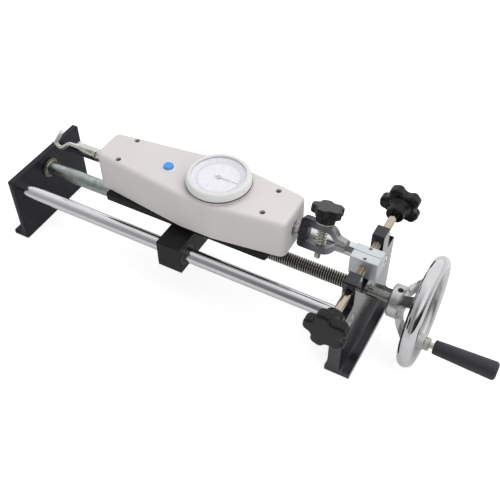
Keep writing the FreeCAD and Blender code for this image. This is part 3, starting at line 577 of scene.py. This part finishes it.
def layOver(material, mask, look):
    # a second state of the surface where the mask is 1: its own colour and gloss
    tree = material.node_tree
    shader = tree.nodes["Principled BSDF"]
    grain = tree.nodes.new("ShaderNodeTexNoise")
    grain.inputs["Scale"].default_value = look["scale"]
    grain.inputs["Detail"].default_value = 4.0
    tree.links.new(tree.nodes.new("ShaderNodeTexCoord").outputs["Object"], grain.inputs["Vector"])
    share = spread(tree, grain.outputs["Fac"], *noiseSpan)
    colour = socketMix(tree, "RGBA", share, (*look["colours"][0], 1), (*look["colours"][1], 1))
    for label, kind, value in (("Base Color", "RGBA", colour),
                               ("Roughness", "FLOAT", spread(tree, share, 0, 1, *look["rough"]))):
        socket = shader.inputs[label]
        tree.links.new(socketMix(tree, kind, mask, socket.links[0].from_socket, value), socket)


def alongX(tree, start, stop):
    # rises from 0 to 1 between two places along the object
    split = tree.nodes.new("ShaderNodeSeparateXYZ")
    tree.links.new(tree.nodes.new("ShaderNodeTexCoord").outputs["Object"], split.inputs[0])
    return spread(tree, split.outputs["X"], start, stop)


# hub and spokes stay as cast, the rim is polished, its inner side only buffed
axisLow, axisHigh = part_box("lead_screw")
axisHeight = centreOf("lead_screw").z
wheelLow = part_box("handwheel")[0]
cast = {"from": 33.5 * mm, "to": 31.0 * mm, "hubPart": 13.0 * mm, "fade": 2.0 * mm, "boss": 6.2 * mm,
        "bossFade": 1.5 * mm, "colours": ((0.20, 0.195, 0.19), (0.45, 0.44, 0.43)), "rough": (0.42, 0.6),
        "scale": 420}
buffed = {"from": 38.6 * mm, "to": 36.6 * mm, "colours": ((0.66, 0.66, 0.67), (0.78, 0.78, 0.79)),
          "rough": (0.3, 0.42), "scale": 260}
wheelTree = finishes["wheel_chrome"].node_tree
hubEnd = wheelLow.x + cast["hubPart"]
fromAxis = axisDistance(wheelTree, (0, 0, axisHeight), (0, 1, 1))
castMask = mathNode(wheelTree, "MULTIPLY", spread(wheelTree, fromAxis, cast["from"], cast["to"]),
                    alongX(wheelTree, hubEnd - cast["fade"], hubEnd))
fromBoss = axisDistance(wheelTree, centreOf("handle_spindle"), (0, 1, 1))
offBoss = spread(wheelTree, fromBoss, cast["boss"], cast["boss"] + cast["bossFade"])
castMask = mathNode(wheelTree, "MULTIPLY", castMask, offBoss)
layOver(finishes["wheel_chrome"], spread(wheelTree, fromAxis, buffed["from"], buffed["to"]), buffed)
layOver(finishes["wheel_chrome"], castMask, cast)
turned = {"colours": ((0.54, 0.54, 0.55), (0.70, 0.70, 0.71)), "rough": (0.26, 0.36), "scale": 700}
layOver(finishes["wheel_chrome"], alongX(wheelTree, hubEnd, hubEnd - cast["fade"]), turned)

# painted shade in the grooves of the lead screw, and its plain end darker than the thread
grooveShade = {"crest": 5.6 * mm, "root": 4.9 * mm, "colours": ((0.020, 0.018, 0.013), (0.05, 0.045, 0.035)),
          "rough": (0.3, 0.5), "scale": 900}
journalLook = {"before": 12.0 * mm, "fade": 0.2 * mm, "colours": ((0.15, 0.15, 0.14), (0.26, 0.26, 0.25)),
               "rough": (0.06, 0.13), "scale": 500}
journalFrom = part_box("right_plate")[1].x - journalLook["before"]
screwTree = finishes["screw_steel"].node_tree
journalMask = alongX(screwTree, journalFrom, journalFrom + journalLook["fade"])
screwReach = axisDistance(screwTree, (0, 0, axisHeight), (0, 1, 1))
grooveShadeMask = mathNode(screwTree, "SUBTRACT", spread(screwTree, screwReach, grooveShade["crest"], grooveShade["root"]),
                    journalMask)
layOver(finishes["screw_steel"], grooveShadeMask, grooveShade)
layOver(finishes["screw_steel"], journalMask, journalLook)

# the yoke's neck and fingers are lighter than its frame
neckLighter = {"from": 281.0 * mm, "to": 290.0 * mm, "colours": ((0.36, 0.36, 0.37), (0.5, 0.5, 0.51)),
          "rough": (0.26, 0.4), "scale": 600}
yokeTree = finishes["yoke_grey"].node_tree
layOver(finishes["yoke_grey"], alongX(yokeTree, neckLighter["from"], neckLighter["to"]), neckLighter)

# and its left bar is the darkest
dimmed = {"from": 15.0 * mm, "to": 6.0 * mm, "colours": ((0.035, 0.035, 0.042), (0.075, 0.075, 0.085)),
          "rough": (0.28, 0.4), "scale": 500}
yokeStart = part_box("yoke_clamp")[0].x
layOver(finishes["yoke_grey"], alongX(yokeTree, yokeStart + dimmed["from"], yokeStart + dimmed["to"]), dimmed)

# the sleeve's flange has yellowed
flangeLook = {"reach": 2.0 * mm, "fade": 0.3 * mm, "colours": ((0.15, 0.14, 0.10), (0.27, 0.26, 0.19)),
              "rough": (0.3, 0.45), "scale": 500}
sleeveTree = finishes["sleeve_steel"].node_tree
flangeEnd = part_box("screw_sleeve")[0].x + flangeLook["reach"]
layOver(finishes["sleeve_steel"], alongX(sleeveTree, flangeEnd, flangeEnd - flangeLook["fade"]), flangeLook)

# pieces that differ from the rest of their finish
ownFinish = {"right_plate": makeFinish("glossyEnamel", glossyEnamelLook),
             "hook_socket": finishes["small_steel"]}
for name, node in cadNodes.items():
    node.data.materials.clear()
    node.data.materials.append(ownFinish.get(name, finishes[slotOf[name]]))
print("stage 2: finishes on all nodes")


def settle(piece, body, slotName, material, *replaced):
    piece.data.materials.clear()
    piece.data.materials.append(material)
    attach(piece, body)
    if replaced:
        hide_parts(*replaced)


def standFor(node, piece, body):
    # piece in the place of a CAD node, with that node's own finish
    settle(piece, body, slotOf[node], finishes[slotOf[node]], node)


# lead screw with its thread

leadScrew = {"pitch": 2.0 * mm, "crest": 5.8 * mm, "root": 4.55 * mm, "journal": 4.0 * mm,
             "threadFrom": 97.0 * mm, "threadTo": 306.3 * mm, "collar": 1.2 * mm, "ease": 0.5 * mm,
             "lap": 0.1 * mm}
parts = [roundRod("journal", leadScrew["journal"], axisLow.x, axisHigh.x, bevel=leadScrew["ease"]),
         roundRod("core", leadScrew["root"], leadScrew["threadFrom"] + leadScrew["lap"],
                  leadScrew["threadTo"] - leadScrew["lap"]),
         threadRidge(leadScrew, leadScrew["threadFrom"] + leadScrew["collar"],
                     leadScrew["threadTo"] - leadScrew["collar"])]
screwPiece = joinPieces("threadedLeadScrew", parts)
turnTo(screwPiece, Vector((1, 0, 0)), Vector((0, 0, axisHeight)))
smoothByAngle(screwPiece, 40)
standFor("lead_screw", screwPiece, "drive")

# vise screws: threaded where they pass the uprights, plain outside

viseScrew = {"pitch": 1.0 * mm, "crest": 3.25 * mm, "root": 2.7 * mm, "coreFrom": 7.5 * mm,
             "coreTo": 35.0 * mm, "ridgeFrom": 8.2 * mm, "ridgeTo": 33.9 * mm, "plainFrom": 34.0 * mm,
             "neck": 2.1 * mm, "neckTo": 8.4 * mm, "neckIn": 0.5 * mm, "ease": 0.4 * mm, "tip": 1.3 * mm}
for side, word in ((-1, "front"), (1, "back")):
    low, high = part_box(word + "_vise_screw")
    near, far = sorted((abs(low.y), abs(high.y)))
    parts = [roundRod("plain", viseScrew["crest"], viseScrew["plainFrom"], far, bevel=viseScrew["ease"]),
             roundRod("core", viseScrew["root"], viseScrew["coreFrom"], viseScrew["coreTo"]),
             roundRod("tip", viseScrew["crest"], near, near + viseScrew["tip"], bevel=viseScrew["ease"]),
             roundRod("groove", viseScrew["neck"], near + viseScrew["neckIn"], viseScrew["neckTo"]),
             threadRidge(viseScrew, viseScrew["ridgeFrom"], viseScrew["ridgeTo"])]
    piece = joinPieces(word + "ThreadedViseScrew", parts)
    middle = centreOf(word + "_vise_screw")
    turnTo(piece, Vector((0, side, 0)), Vector((middle.x, 0, middle.z)))
    smoothByAngle(piece, 40)
    standFor(word + "_vise_screw", piece, word + "_screw")

# yoke clamp: threaded set screw and the coil round it, leaning with the yoke

clampScrew = {"pitch": 0.8 * mm, "crest": 2.5 * mm, "root": 2.05 * mm, "tail": -17.6 * mm, "top": 22.5 * mm,
              "threadFrom": -16.4 * mm, "threadTo": 12.0 * mm, "tip": 2.25 * mm, "tipFrom": -17.4 * mm,
              "ease": 0.4 * mm, "lean": 22.0}
lean = math.radians(clampScrew["lean"])
clampAxis = Vector((0, math.sin(lean), math.cos(lean)))
clampCentre = centreOf("clamp_spring")
parts = [roundRod("core", clampScrew["root"], clampScrew["tail"], clampScrew["top"],
                  bevel=clampScrew["ease"]),
         roundRod("tip", clampScrew["tip"], clampScrew["tipFrom"], clampScrew["threadFrom"]),
         threadRidge(clampScrew, clampScrew["threadFrom"], clampScrew["threadTo"])]
clampPiece = joinPieces("threadedClampScrew", parts)
turnTo(clampPiece, clampAxis, clampCentre)
smoothByAngle(clampPiece, 40)
standFor("clamp_screw", clampPiece, "clamp_screw")

coil = {"wire": 0.42 * mm, "radius": 3.72 * mm, "reach": 6.2 * mm, "turns": 5, "steps": 40, "sides": 10}
clearSelection()
bpy.ops.mesh.primitive_circle_add(vertices=coil["sides"], radius=coil["wire"],
                                  rotation=(math.radians(90), 0, 0),
                                  location=(coil["radius"], 0, -coil["reach"] + coil["wire"]))
coilPiece = newPiece("clampCoil")
windRound(coilPiece, coil["steps"], coil["turns"], 2 * (coil["reach"] - coil["wire"]) / coil["turns"])
closeSkin(coilPiece, coil["sides"])
turnTo(coilPiece, clampAxis, clampCentre)
smoothByAngle(coilPiece, 60)
standFor("clamp_spring", coilPiece, "gauge_shaft")
print("stage 3: threads and coil")

# hook: wire bent over a low crest, round the open end and up to its tip, in the plane of the pull line

socketLow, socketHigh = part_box("hook_socket")
pullHeight = centreOf("hook_socket").z
hook = {"wire": 1.75 * mm, "start": 4.0 * mm, "straight": 11.7 * mm, "crestRadius": 7.5 * mm,
        "crestTurn": 40.0, "crestSteps": 8, "drop": 9.0 * mm, "bendRadius": 3.9 * mm, "bendTurn": 164.0,
        "bendSteps": 20, "tipRun": 15.2 * mm, "tipEase": 0.5 * mm, "sides": 20}
end = Vector((socketLow.x + hook["start"], 0, pullHeight))
heading = 180.0
clearSelection()
bpy.ops.mesh.primitive_circle_add(vertices=hook["sides"], radius=hook["wire"], fill_type="NGON", location=end,
                                  rotation=(0, math.radians(90), 0))
hookPiece = newPiece("bentHook")
startEditing(hookPiece)
selectAll()


def runOn(length):
    global end
    step = Vector((math.cos(math.radians(heading)), 0, math.sin(math.radians(heading)))) * length
    bpy.ops.mesh.extrude_region_move(TRANSFORM_OT_translate={"value": step})
    end = end + step


def bendOn(radius, turn, steps):
    # positive turns are to the left of the wire's run
    global end, heading
    side = math.radians(heading + math.copysign(90, turn))
    centre = end + Vector((math.cos(side), 0, math.sin(side))) * radius
    bpy.ops.mesh.spin(steps=steps, angle=math.radians(turn), center=centre, axis=(0, 1, 0))
    heading += turn
    side = math.radians(heading - math.copysign(90, turn))
    end = centre + Vector((math.cos(side), 0, math.sin(side))) * radius


runOn(hook["straight"])
bendOn(hook["crestRadius"], hook["crestTurn"], hook["crestSteps"])
runOn(hook["drop"])
bendOn(hook["bendRadius"], -hook["bendTurn"], hook["bendSteps"])
runOn(hook["tipRun"])
bpy.ops.mesh.inset(thickness=hook["tipEase"], depth=hook["tipEase"])
selectAll()
bpy.ops.mesh.remove_doubles(threshold=weld)
bpy.ops.mesh.normals_make_consistent(inside=False)
stopEditing()
smoothByAngle(hookPiece, 50)
standFor("wire_hook", hookPiece, "gauge_shaft")

# turned socket that holds the wire, and its lock nut

socket = {"radius": 3.35 * mm, "nose": 2.5 * mm, "noseRun": 2.8 * mm, "rim": 0.5 * mm, "ease": 0.3 * mm,
          "sides": 48}
barrel = socketHigh.x - socketLow.x - socket["noseRun"]
clearSelection()
bpy.ops.mesh.primitive_cylinder_add(vertices=socket["sides"], radius=socket["radius"], depth=barrel,
                                    location=(socketHigh.x - barrel / 2, 0, pullHeight),
                                    rotation=(0, math.radians(90), 0))
socketPiece = newPiece("turnedSocket")
startEditing(socketPiece)
bpy.ops.mesh.select_mode(type="FACE")
selectFaces(socketPiece, lambda centre, normal: normal.x < -0.9)
bpy.ops.mesh.extrude_region_move(TRANSFORM_OT_translate={"value": (-socket["noseRun"], 0, 0)})
noseShare = socket["nose"] / socket["radius"]
bpy.ops.transform.resize(value=(1, noseShare, noseShare), center_override=(socketLow.x, 0, pullHeight))
selectFaces(socketPiece, lambda centre, normal: abs(normal.x) > 0.9)
bpy.ops.mesh.inset(thickness=socket["rim"], depth=-socket["rim"])
stopEditing()

nutLow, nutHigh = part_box("hook_lock_nut")
lockNut = {"flats": 7.6 * mm, "rim": 0.7 * mm, "dish": 0.2 * mm, "ease": 0.35 * mm, "turn": 18.0}
clearSelection()
bpy.ops.mesh.primitive_cylinder_add(vertices=6, radius=lockNut["flats"] / 2 / math.cos(math.radians(30)),
                                    depth=nutHigh.x - nutLow.x,
                                    location=(centreOf("hook_lock_nut").x, 0, pullHeight),
                                    rotation=(math.radians(lockNut["turn"]), math.radians(90), 0))
lockNutPiece = newPiece("hexLockNut")
startEditing(lockNutPiece)
bpy.ops.mesh.select_mode(type="FACE")
selectFaces(lockNutPiece, lambda centre, normal: abs(normal.x) > 0.9)
bpy.ops.mesh.inset(thickness=lockNut["rim"], depth=-lockNut["dish"])
stopEditing()
for piece, ease, node in ((socketPiece, socket["ease"], "hook_socket"),
                          (lockNutPiece, lockNut["ease"], "hook_lock_nut")):
    easeEdges(piece, ease, 28)
    smoothByAngle(piece)
    settle(piece, "gauge_shaft", slotOf[node], finishes["small_steel"], node)

# screws that hold the gauge's case and the gauge on its platform

caseLow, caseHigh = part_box("gauge_case")
caseScrew = {"radius": 2.05 * mm, "height": 1.6 * mm, "cross": 0.5 * mm, "crossDepth": 0.7 * mm,
             "sunk": 1.1 * mm, "fromEnd": 21.5 * mm, "beside": 13.4 * mm, "buttonRise": 2.6 * mm,
             "firstTurn": 20, "nextTurn": 37}
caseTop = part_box("peak_button")[1].z - caseScrew["buttonRise"]
master = crossScrew("caseScrew", caseScrew)
count = 0
for x in (caseLow.x + caseScrew["fromEnd"], caseHigh.x - caseScrew["fromEnd"]):
    for side in (-1, 1):
        piece = copyOf(master, "caseScrew%d" % (count + 1))
        piece.location = (x, side * caseScrew["beside"], caseTop - caseScrew["sunk"])
        piece.rotation_euler = (0, 0, math.radians(caseScrew["firstTurn"] + caseScrew["nextTurn"] * count))
        applyPlace(piece)
        settle(piece, "carriage", "small_steel", blackenedSteel)
        count += 1
bpy.data.objects.remove(master)

platformLow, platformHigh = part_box("platform")
fixing = {"radius": 3.6 * mm, "height": 3.6 * mm, "key": 1.7 * mm, "keyDepth": 1.8 * mm, "fromEnd": 22.0 * mm,
          "beside": 10.0 * mm, "sunk": 0.5 * mm}
count = 0
master = socketScrew("gaugeFixing", fixing)
for x in (platformLow.x + fixing["fromEnd"], platformHigh.x - fixing["fromEnd"]):
    for side in (-1, 1):
        count += 1
        piece = copyOf(master, "gaugeFixing%d" % count)
        piece.rotation_euler = (math.radians(180), 0, 0)
        piece.location = (x, side * fixing["beside"], platformLow.z + fixing["sunk"])
        applyPlace(piece)
        settle(piece, "carriage", "small_steel", blackenedSteel)
bpy.data.objects.remove(master)

# set screws in the rods' tapped ends and in the hub

rodPlug = {"radius": 1.9 * mm, "height": 2.6 * mm, "key": 1.0 * mm, "keyDepth": 1.3 * mm, "sunk": 0.7 * mm}
master = socketScrew("rodPlug", rodPlug)
for word in ("front", "back"):
    low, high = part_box(word + "_rod")
    for rodEnd, x, outward in (("Left", low.x, -1), ("Right", high.x, 1)):
        piece = copyOf(master, word + "RodPlug" + rodEnd)
        plugAt = centreOf(word + "_rod")
        plugAt.x = x - outward * rodPlug["sunk"]
        turnTo(piece, Vector((outward, 0, 0)), plugAt)
        settle(piece, "base", "small_steel", blackenedSteel)
bpy.data.objects.remove(master)

hubGrub = {"radius": 2.2 * mm, "height": 4.0 * mm, "key": 1.15 * mm, "keyDepth": 1.6 * mm, "top": 9.6 * mm,
           "along": 5.75 * mm}
piece = socketScrew("hubSetScrew", hubGrub)
piece.location = (wheelLow.x + hubGrub["along"], 0, axisHeight + hubGrub["top"])
applyPlace(piece)
settle(piece, "drive", "small_steel", blackenedSteel)
print("stage 4: fasteners")

# printed scale of the dial: zero points along +X, as the hand does at rest

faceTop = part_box("dial_face")[1].z
dialCentre = centreOf("dial_face")
dialScale = {"outer": 17.1 * mm, "small": 1.3 * mm, "middle": 1.8 * mm, "large": 2.5 * mm, "thin": 0.18 * mm,
             "thick": 0.3 * mm, "high": 0.04 * mm, "marks": 100, "numberAt": 12.6 * mm,
             "numberSize": 2.6 * mm, "ringWide": 0.8 * mm, "innerRing": 9.4 * mm, "innerWide": 0.12 * mm,
             "numbers": 10}
marks = []
pattern = {}
for length, width in ((dialScale["large"], dialScale["thick"]), (dialScale["small"], dialScale["thin"]),
                      (dialScale["middle"], dialScale["thin"])):
    clearSelection()
    bpy.ops.mesh.primitive_cube_add(size=1, location=(0, 0, 0), scale=(length, width, dialScale["high"]))
    pattern[length] = newPiece("mark")
for count in range(dialScale["marks"]):
    size = "large" if count % 10 == 0 else "middle" if count % 5 == 0 else "small"
    length = dialScale[size]
    angle = 2 * math.pi * count / dialScale["marks"]
    mark = copyOf(pattern[length], "mark")
    away = dialScale["outer"] - length / 2
    mark.location = (away * math.cos(angle), away * math.sin(angle), 0)
    mark.rotation_euler = (0, 0, angle)
    marks.append(mark)
for old in pattern.values():
    bpy.data.objects.remove(old)
for radius, wide in ((dialScale["outer"] + dialScale["ringWide"], dialScale["ringWide"]),
                     (dialScale["innerRing"], dialScale["innerWide"])):
    clearSelection()
    bpy.ops.mesh.primitive_circle_add(vertices=96, radius=radius, fill_type="NGON")
    ring = named("ring")
    startEditing(ring)
    selectAll()
    bpy.ops.mesh.inset(thickness=wide)
    bpy.ops.mesh.delete(type="FACE")
    selectAll()
    bpy.ops.mesh.extrude_region_move(TRANSFORM_OT_translate={"value": (0, 0, dialScale["high"] / 2)})
    stopEditing()
    closeSkin(ring)
    marks.append(ring)
for count in range(dialScale["numbers"]):
    # clockwise up to the half turn, then down again
    value = 10 * min(count, dialScale["numbers"] - count)
    angle = -2 * math.pi * count / dialScale["numbers"]
    clearSelection()
    bpy.ops.object.text_add(location=(0, 0, 0))
    number = bpy.context.active_object
    number.data.body = str(value)
    number.data.size = dialScale["numberSize"]
    number.data.align_x = "CENTER"
    number.data.align_y = "CENTER"
    number.data.extrude = dialScale["high"] / 2
    bpy.ops.object.convert(target="MESH")
    number = bpy.context.active_object
    number.rotation_euler = (0, 0, math.radians(-90))
    number.location = (dialScale["numberAt"] * math.cos(angle), dialScale["numberAt"] * math.sin(angle), 0)
    marks.append(number)
for mark in marks:
    applyPlace(mark)
scalePiece = joinPieces("dialScale", marks)
scalePiece.location = (dialCentre.x, dialCentre.y, faceTop + dialScale["high"] / 2)
applyPlace(scalePiece)
settle(scalePiece, "dial_ring", slotOf["dial_face"], dialPrint)

# sloping white ring between the printed face and the glass
slope = {"outer": 23.1 * mm, "inner": 18.9 * mm, "crown": 1.7 * mm, "lift": 0.05 * mm, "steps": 96}
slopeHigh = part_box("dial_glass")[0].z - faceTop - 2 * slope["lift"]
clearSelection()
bpy.ops.mesh.primitive_plane_add(size=1, rotation=(math.radians(90), 0, 0),
                                 location=((slope["outer"] + slope["inner"]) / 2, 0, slopeHigh / 2))
slopeRing = named("slopeRing")
slopeRing.scale = (slope["outer"] - slope["inner"], slopeHigh, 1)
applyPlace(slopeRing)
startEditing(slopeRing)
selectVertices(slopeRing, lambda co: co.z > slopeHigh / 2 and co.x < (slope["outer"] + slope["inner"]) / 2)
bpy.ops.transform.translate(value=(slope["outer"] - slope["inner"] - slope["crown"], 0, 0))
selectAll()
bpy.ops.mesh.delete(type="ONLY_FACE")
stopEditing()
windRound(slopeRing, slope["steps"], merge=True)
closeSkin(slopeRing)
slopeRing.location = (dialCentre.x, dialCentre.y, faceTop + slope["lift"])
applyPlace(slopeRing)
smoothByAngle(slopeRing)
settle(slopeRing, "dial_ring", slotOf["dial_face"], finishes["dial_white"])

# hand: a fine tapered needle under a small domed cap
hand = {"tip": 16.2 * mm, "tail": 3.6 * mm, "rootWide": 0.95 * mm, "tipWide": 0.25 * mm, "thick": 0.3 * mm,
        "lift": 0.5 * mm, "capRadius": 1.75 * mm, "capHigh": 1.0 * mm, "capEase": 0.3 * mm,
        "spindle": 0.9 * mm}
clearSelection()
bpy.ops.mesh.primitive_cube_add(size=1, location=((hand["tip"] - hand["tail"]) / 2, 0, hand["thick"] / 2),
                                scale=(hand["tip"] + hand["tail"], hand["rootWide"], hand["thick"]))
needle = newPiece("needle")
startEditing(needle)
selectVertices(needle, lambda co: co.x > 0)
bpy.ops.transform.resize(value=(1, hand["tipWide"] / hand["rootWide"], 1), center_override=(0, 0, 0))
stopEditing()
cap = roundRod("cap", hand["capRadius"], 0, hand["capHigh"], sides=32, bevel=hand["capEase"])
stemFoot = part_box("pointer")[0].z - faceTop - hand["lift"]
stem = roundRod("stem", hand["spindle"], stemFoot, hand["capHigh"] / 2, sides=24)
handPiece = joinPieces("dialHand", [needle, cap, stem])
handPiece.location = (dialCentre.x, dialCentre.y, faceTop + hand["lift"])
applyPlace(handPiece)
smoothByAngle(handPiece)
standFor("pointer", handPiece, "pointer")

# dark ring in the gap under the turning ring: a painted shadow line
shadowLine = {"outer": 26.3 * mm, "inner": 25.1 * mm, "under": 0.05 * mm, "high": 0.6 * mm}
shadowLineRing = roundRod("bezelShadowLine", shadowLine["outer"], 0, shadowLine["high"], sides=96)
startEditing(shadowLineRing)
selectFaces(shadowLineRing, lambda centre, normal: abs(normal.z) > 0.9)
bpy.ops.mesh.inset(thickness=shadowLine["outer"] - shadowLine["inner"])
bpy.ops.mesh.bridge_edge_loops()
stopEditing()
closeSkin(shadowLineRing)
shadowLineRing.location = (dialCentre.x, dialCentre.y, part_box("bezel")[0].z - shadowLine["high"] - shadowLine["under"])
applyPlace(shadowLineRing)
smoothByAngle(shadowLineRing)
settle(shadowLineRing, "carriage", "bush_black", shadowLineDark)
print("stage 5: dial scale")

# floor, light and camera

def viewRays(tree):
    # what the camera sees, also through the glass, and what metal mirrors
    rays = tree.nodes.new("ShaderNodeLightPath").outputs
    return mathNode(tree, "ADD", rays["Is Camera Ray"], rays["Is Transmission Ray"]), rays["Is Glossy Ray"]


studio = {"floorSize": 6.0, "floorAt": 0.2, "floorDrop": 0.2 * mm, "floorColour": (0.72, 0.72, 0.72),
          "floorRough": 0.9, "floorSpecular": 0.1, "floorLift": 0.66, "mirrorFloorLift": 0.12,
          "lamps": (("keyLamp", 3.9, (0.42, 0.45, 0.95), 0.9), ("fillLamp", 1.6, (1.1, -0.3, 0.55), 0.7)),
          "aim": (0.18, 0, 0.05), "soft": 0.62, "wall": (0, 0.82, 0.57)}
clearSelection()
bpy.ops.mesh.primitive_plane_add(size=studio["floorSize"],
                                 location=(studio["floorAt"], 0, cadBox[0][2] - studio["floorDrop"]))
floor = newPiece("studioFloor")
floorMaterial = bpy.data.materials.new("floorPaper")
floorMaterial.use_nodes = True
tree = floorMaterial.node_tree
paper = tree.nodes["Principled BSDF"]
paper.inputs["Base Color"].default_value = (*studio["floorColour"], 1)
paper.inputs["Roughness"].default_value = studio["floorRough"]
paper.inputs["Specular IOR Level"].default_value = studio["floorSpecular"]
paper.inputs["Emission Color"].default_value = (1, 1, 1, 1)
seen, glossy = viewRays(tree)
dimmer = mathNode(tree, "MULTIPLY", glossy, studio["mirrorFloorLift"] / studio["floorLift"])
lift = mathNode(tree, "MULTIPLY", mathNode(tree, "ADD", seen, dimmer), studio["floorLift"])
tree.links.new(lift, paper.inputs["Emission Strength"])
floor.data.materials.append(floorMaterial)

world = bpy.data.worlds.new("studioWorld")
bpy.context.scene.world = world
world.use_nodes = True
tree = world.node_tree
soft = tree.nodes["Background"]
soft.inputs["Color"].default_value = (studio["soft"], studio["soft"], studio["soft"], 1)
direction = tree.nodes.new("ShaderNodeTexCoord").outputs["Generated"]
split = tree.nodes.new("ShaderNodeSeparateXYZ")
tree.links.new(direction, split.inputs[0])


def greyMix(tree, factor, first, second):
    node = tree.nodes.new("ShaderNodeMix")
    for socket, value in (("Factor", factor), ("A", first), ("B", second)):
        if isinstance(value, (int, float)):
            node.inputs[socket].default_value = value
        else:
            tree.links.new(value, node.inputs[socket])
    return node.outputs["Result"]


# what metal mirrors: a bright wall behind and above, a dimmer room on the camera's side;
# each pair says from where to where in the direction one gives way to the next
behind = tree.nodes.new("ShaderNodeVectorMath")
behind.operation = "DOT_PRODUCT"
behind.inputs[1].default_value = studio["wall"]
tree.links.new(direction, behind.inputs[0])
mirrored = {"bright": 1.0, "near": 0.13, "far": 0.45, "right": 0.03, "side": 0.42, "toFar": (-0.2, -0.57),
            "toOverhead": (0.42, 0.6), "toRight": (0.12, 0.34), "toSide": (-0.18, -0.04),
            "toWall": (-0.1, 0.72)}
left = greyMix(tree, spread(tree, split.outputs["X"], *mirrored["toFar"]), mirrored["near"], mirrored["far"])
overhead = greyMix(tree, spread(tree, split.outputs["Z"], *mirrored["toOverhead"]), mirrored["right"],
                   mirrored["bright"])
side = greyMix(tree, spread(tree, split.outputs["X"], *mirrored["toRight"]), mirrored["side"], overhead)
room = greyMix(tree, spread(tree, split.outputs["X"], *mirrored["toSide"]), left, side)
mirror = greyMix(tree, spread(tree, behind.outputs["Value"], *mirrored["toWall"]), room, mirrored["bright"])
mirrorSky = tree.nodes.new("ShaderNodeBackground")
tree.links.new(mirror, mirrorSky.inputs["Color"])
white = tree.nodes.new("ShaderNodeBackground")
white.inputs["Color"].default_value = (1, 1, 1, 1)
seen, glossy = viewRays(tree)
lower = soft
for factor, upper in ((glossy, mirrorSky), (seen, white)):
    choose = tree.nodes.new("ShaderNodeMixShader")
    tree.links.new(factor, choose.inputs["Fac"])
    tree.links.new(lower.outputs[0], choose.inputs[1])
    tree.links.new(upper.outputs[0], choose.inputs[2])
    lower = choose
tree.links.new(lower.outputs[0], tree.nodes["World Output"].inputs["Surface"])

for name, power, place, size in studio["lamps"]:
    clearSelection()
    bpy.ops.object.light_add(type="AREA", location=place)
    lamp = bpy.context.active_object
    lamp.name = name
    lamp.data.energy = power
    lamp.data.size = size
    lamp.visible_glossy = False
    lamp.rotation_euler = (Vector(studio["aim"]) - Vector(place)).to_track_quat("-Z", "Y").to_euler()

view = {"place": (0.42688, -0.38567, 0.50724), "lens": 56.06, "sensor": 36.0, "clip": 0.01,
        "right": (0.8786, 0.4774, -0.0067), "up": (-0.342, 0.6391, 0.6889), "back": (0.3332, -0.603, 0.7248)}
cameraData = bpy.data.cameras.new("photoView")
camera = bpy.data.objects.new("photoView", cameraData)
bpy.context.scene.collection.objects.link(camera)
turn = Matrix((view["right"], view["up"], view["back"])).transposed()
facing = turn.to_quaternion().normalized().to_matrix().to_4x4()
camera.matrix_world = Matrix.Translation(view["place"]) @ facing
cameraData.sensor_width = view["sensor"]
cameraData.lens = view["lens"]
cameraData.clip_start = view["clip"]
bpy.context.scene.camera = camera
bpy.context.scene.view_settings.view_transform = "Standard"
print("stage 6: floor, light and camera")
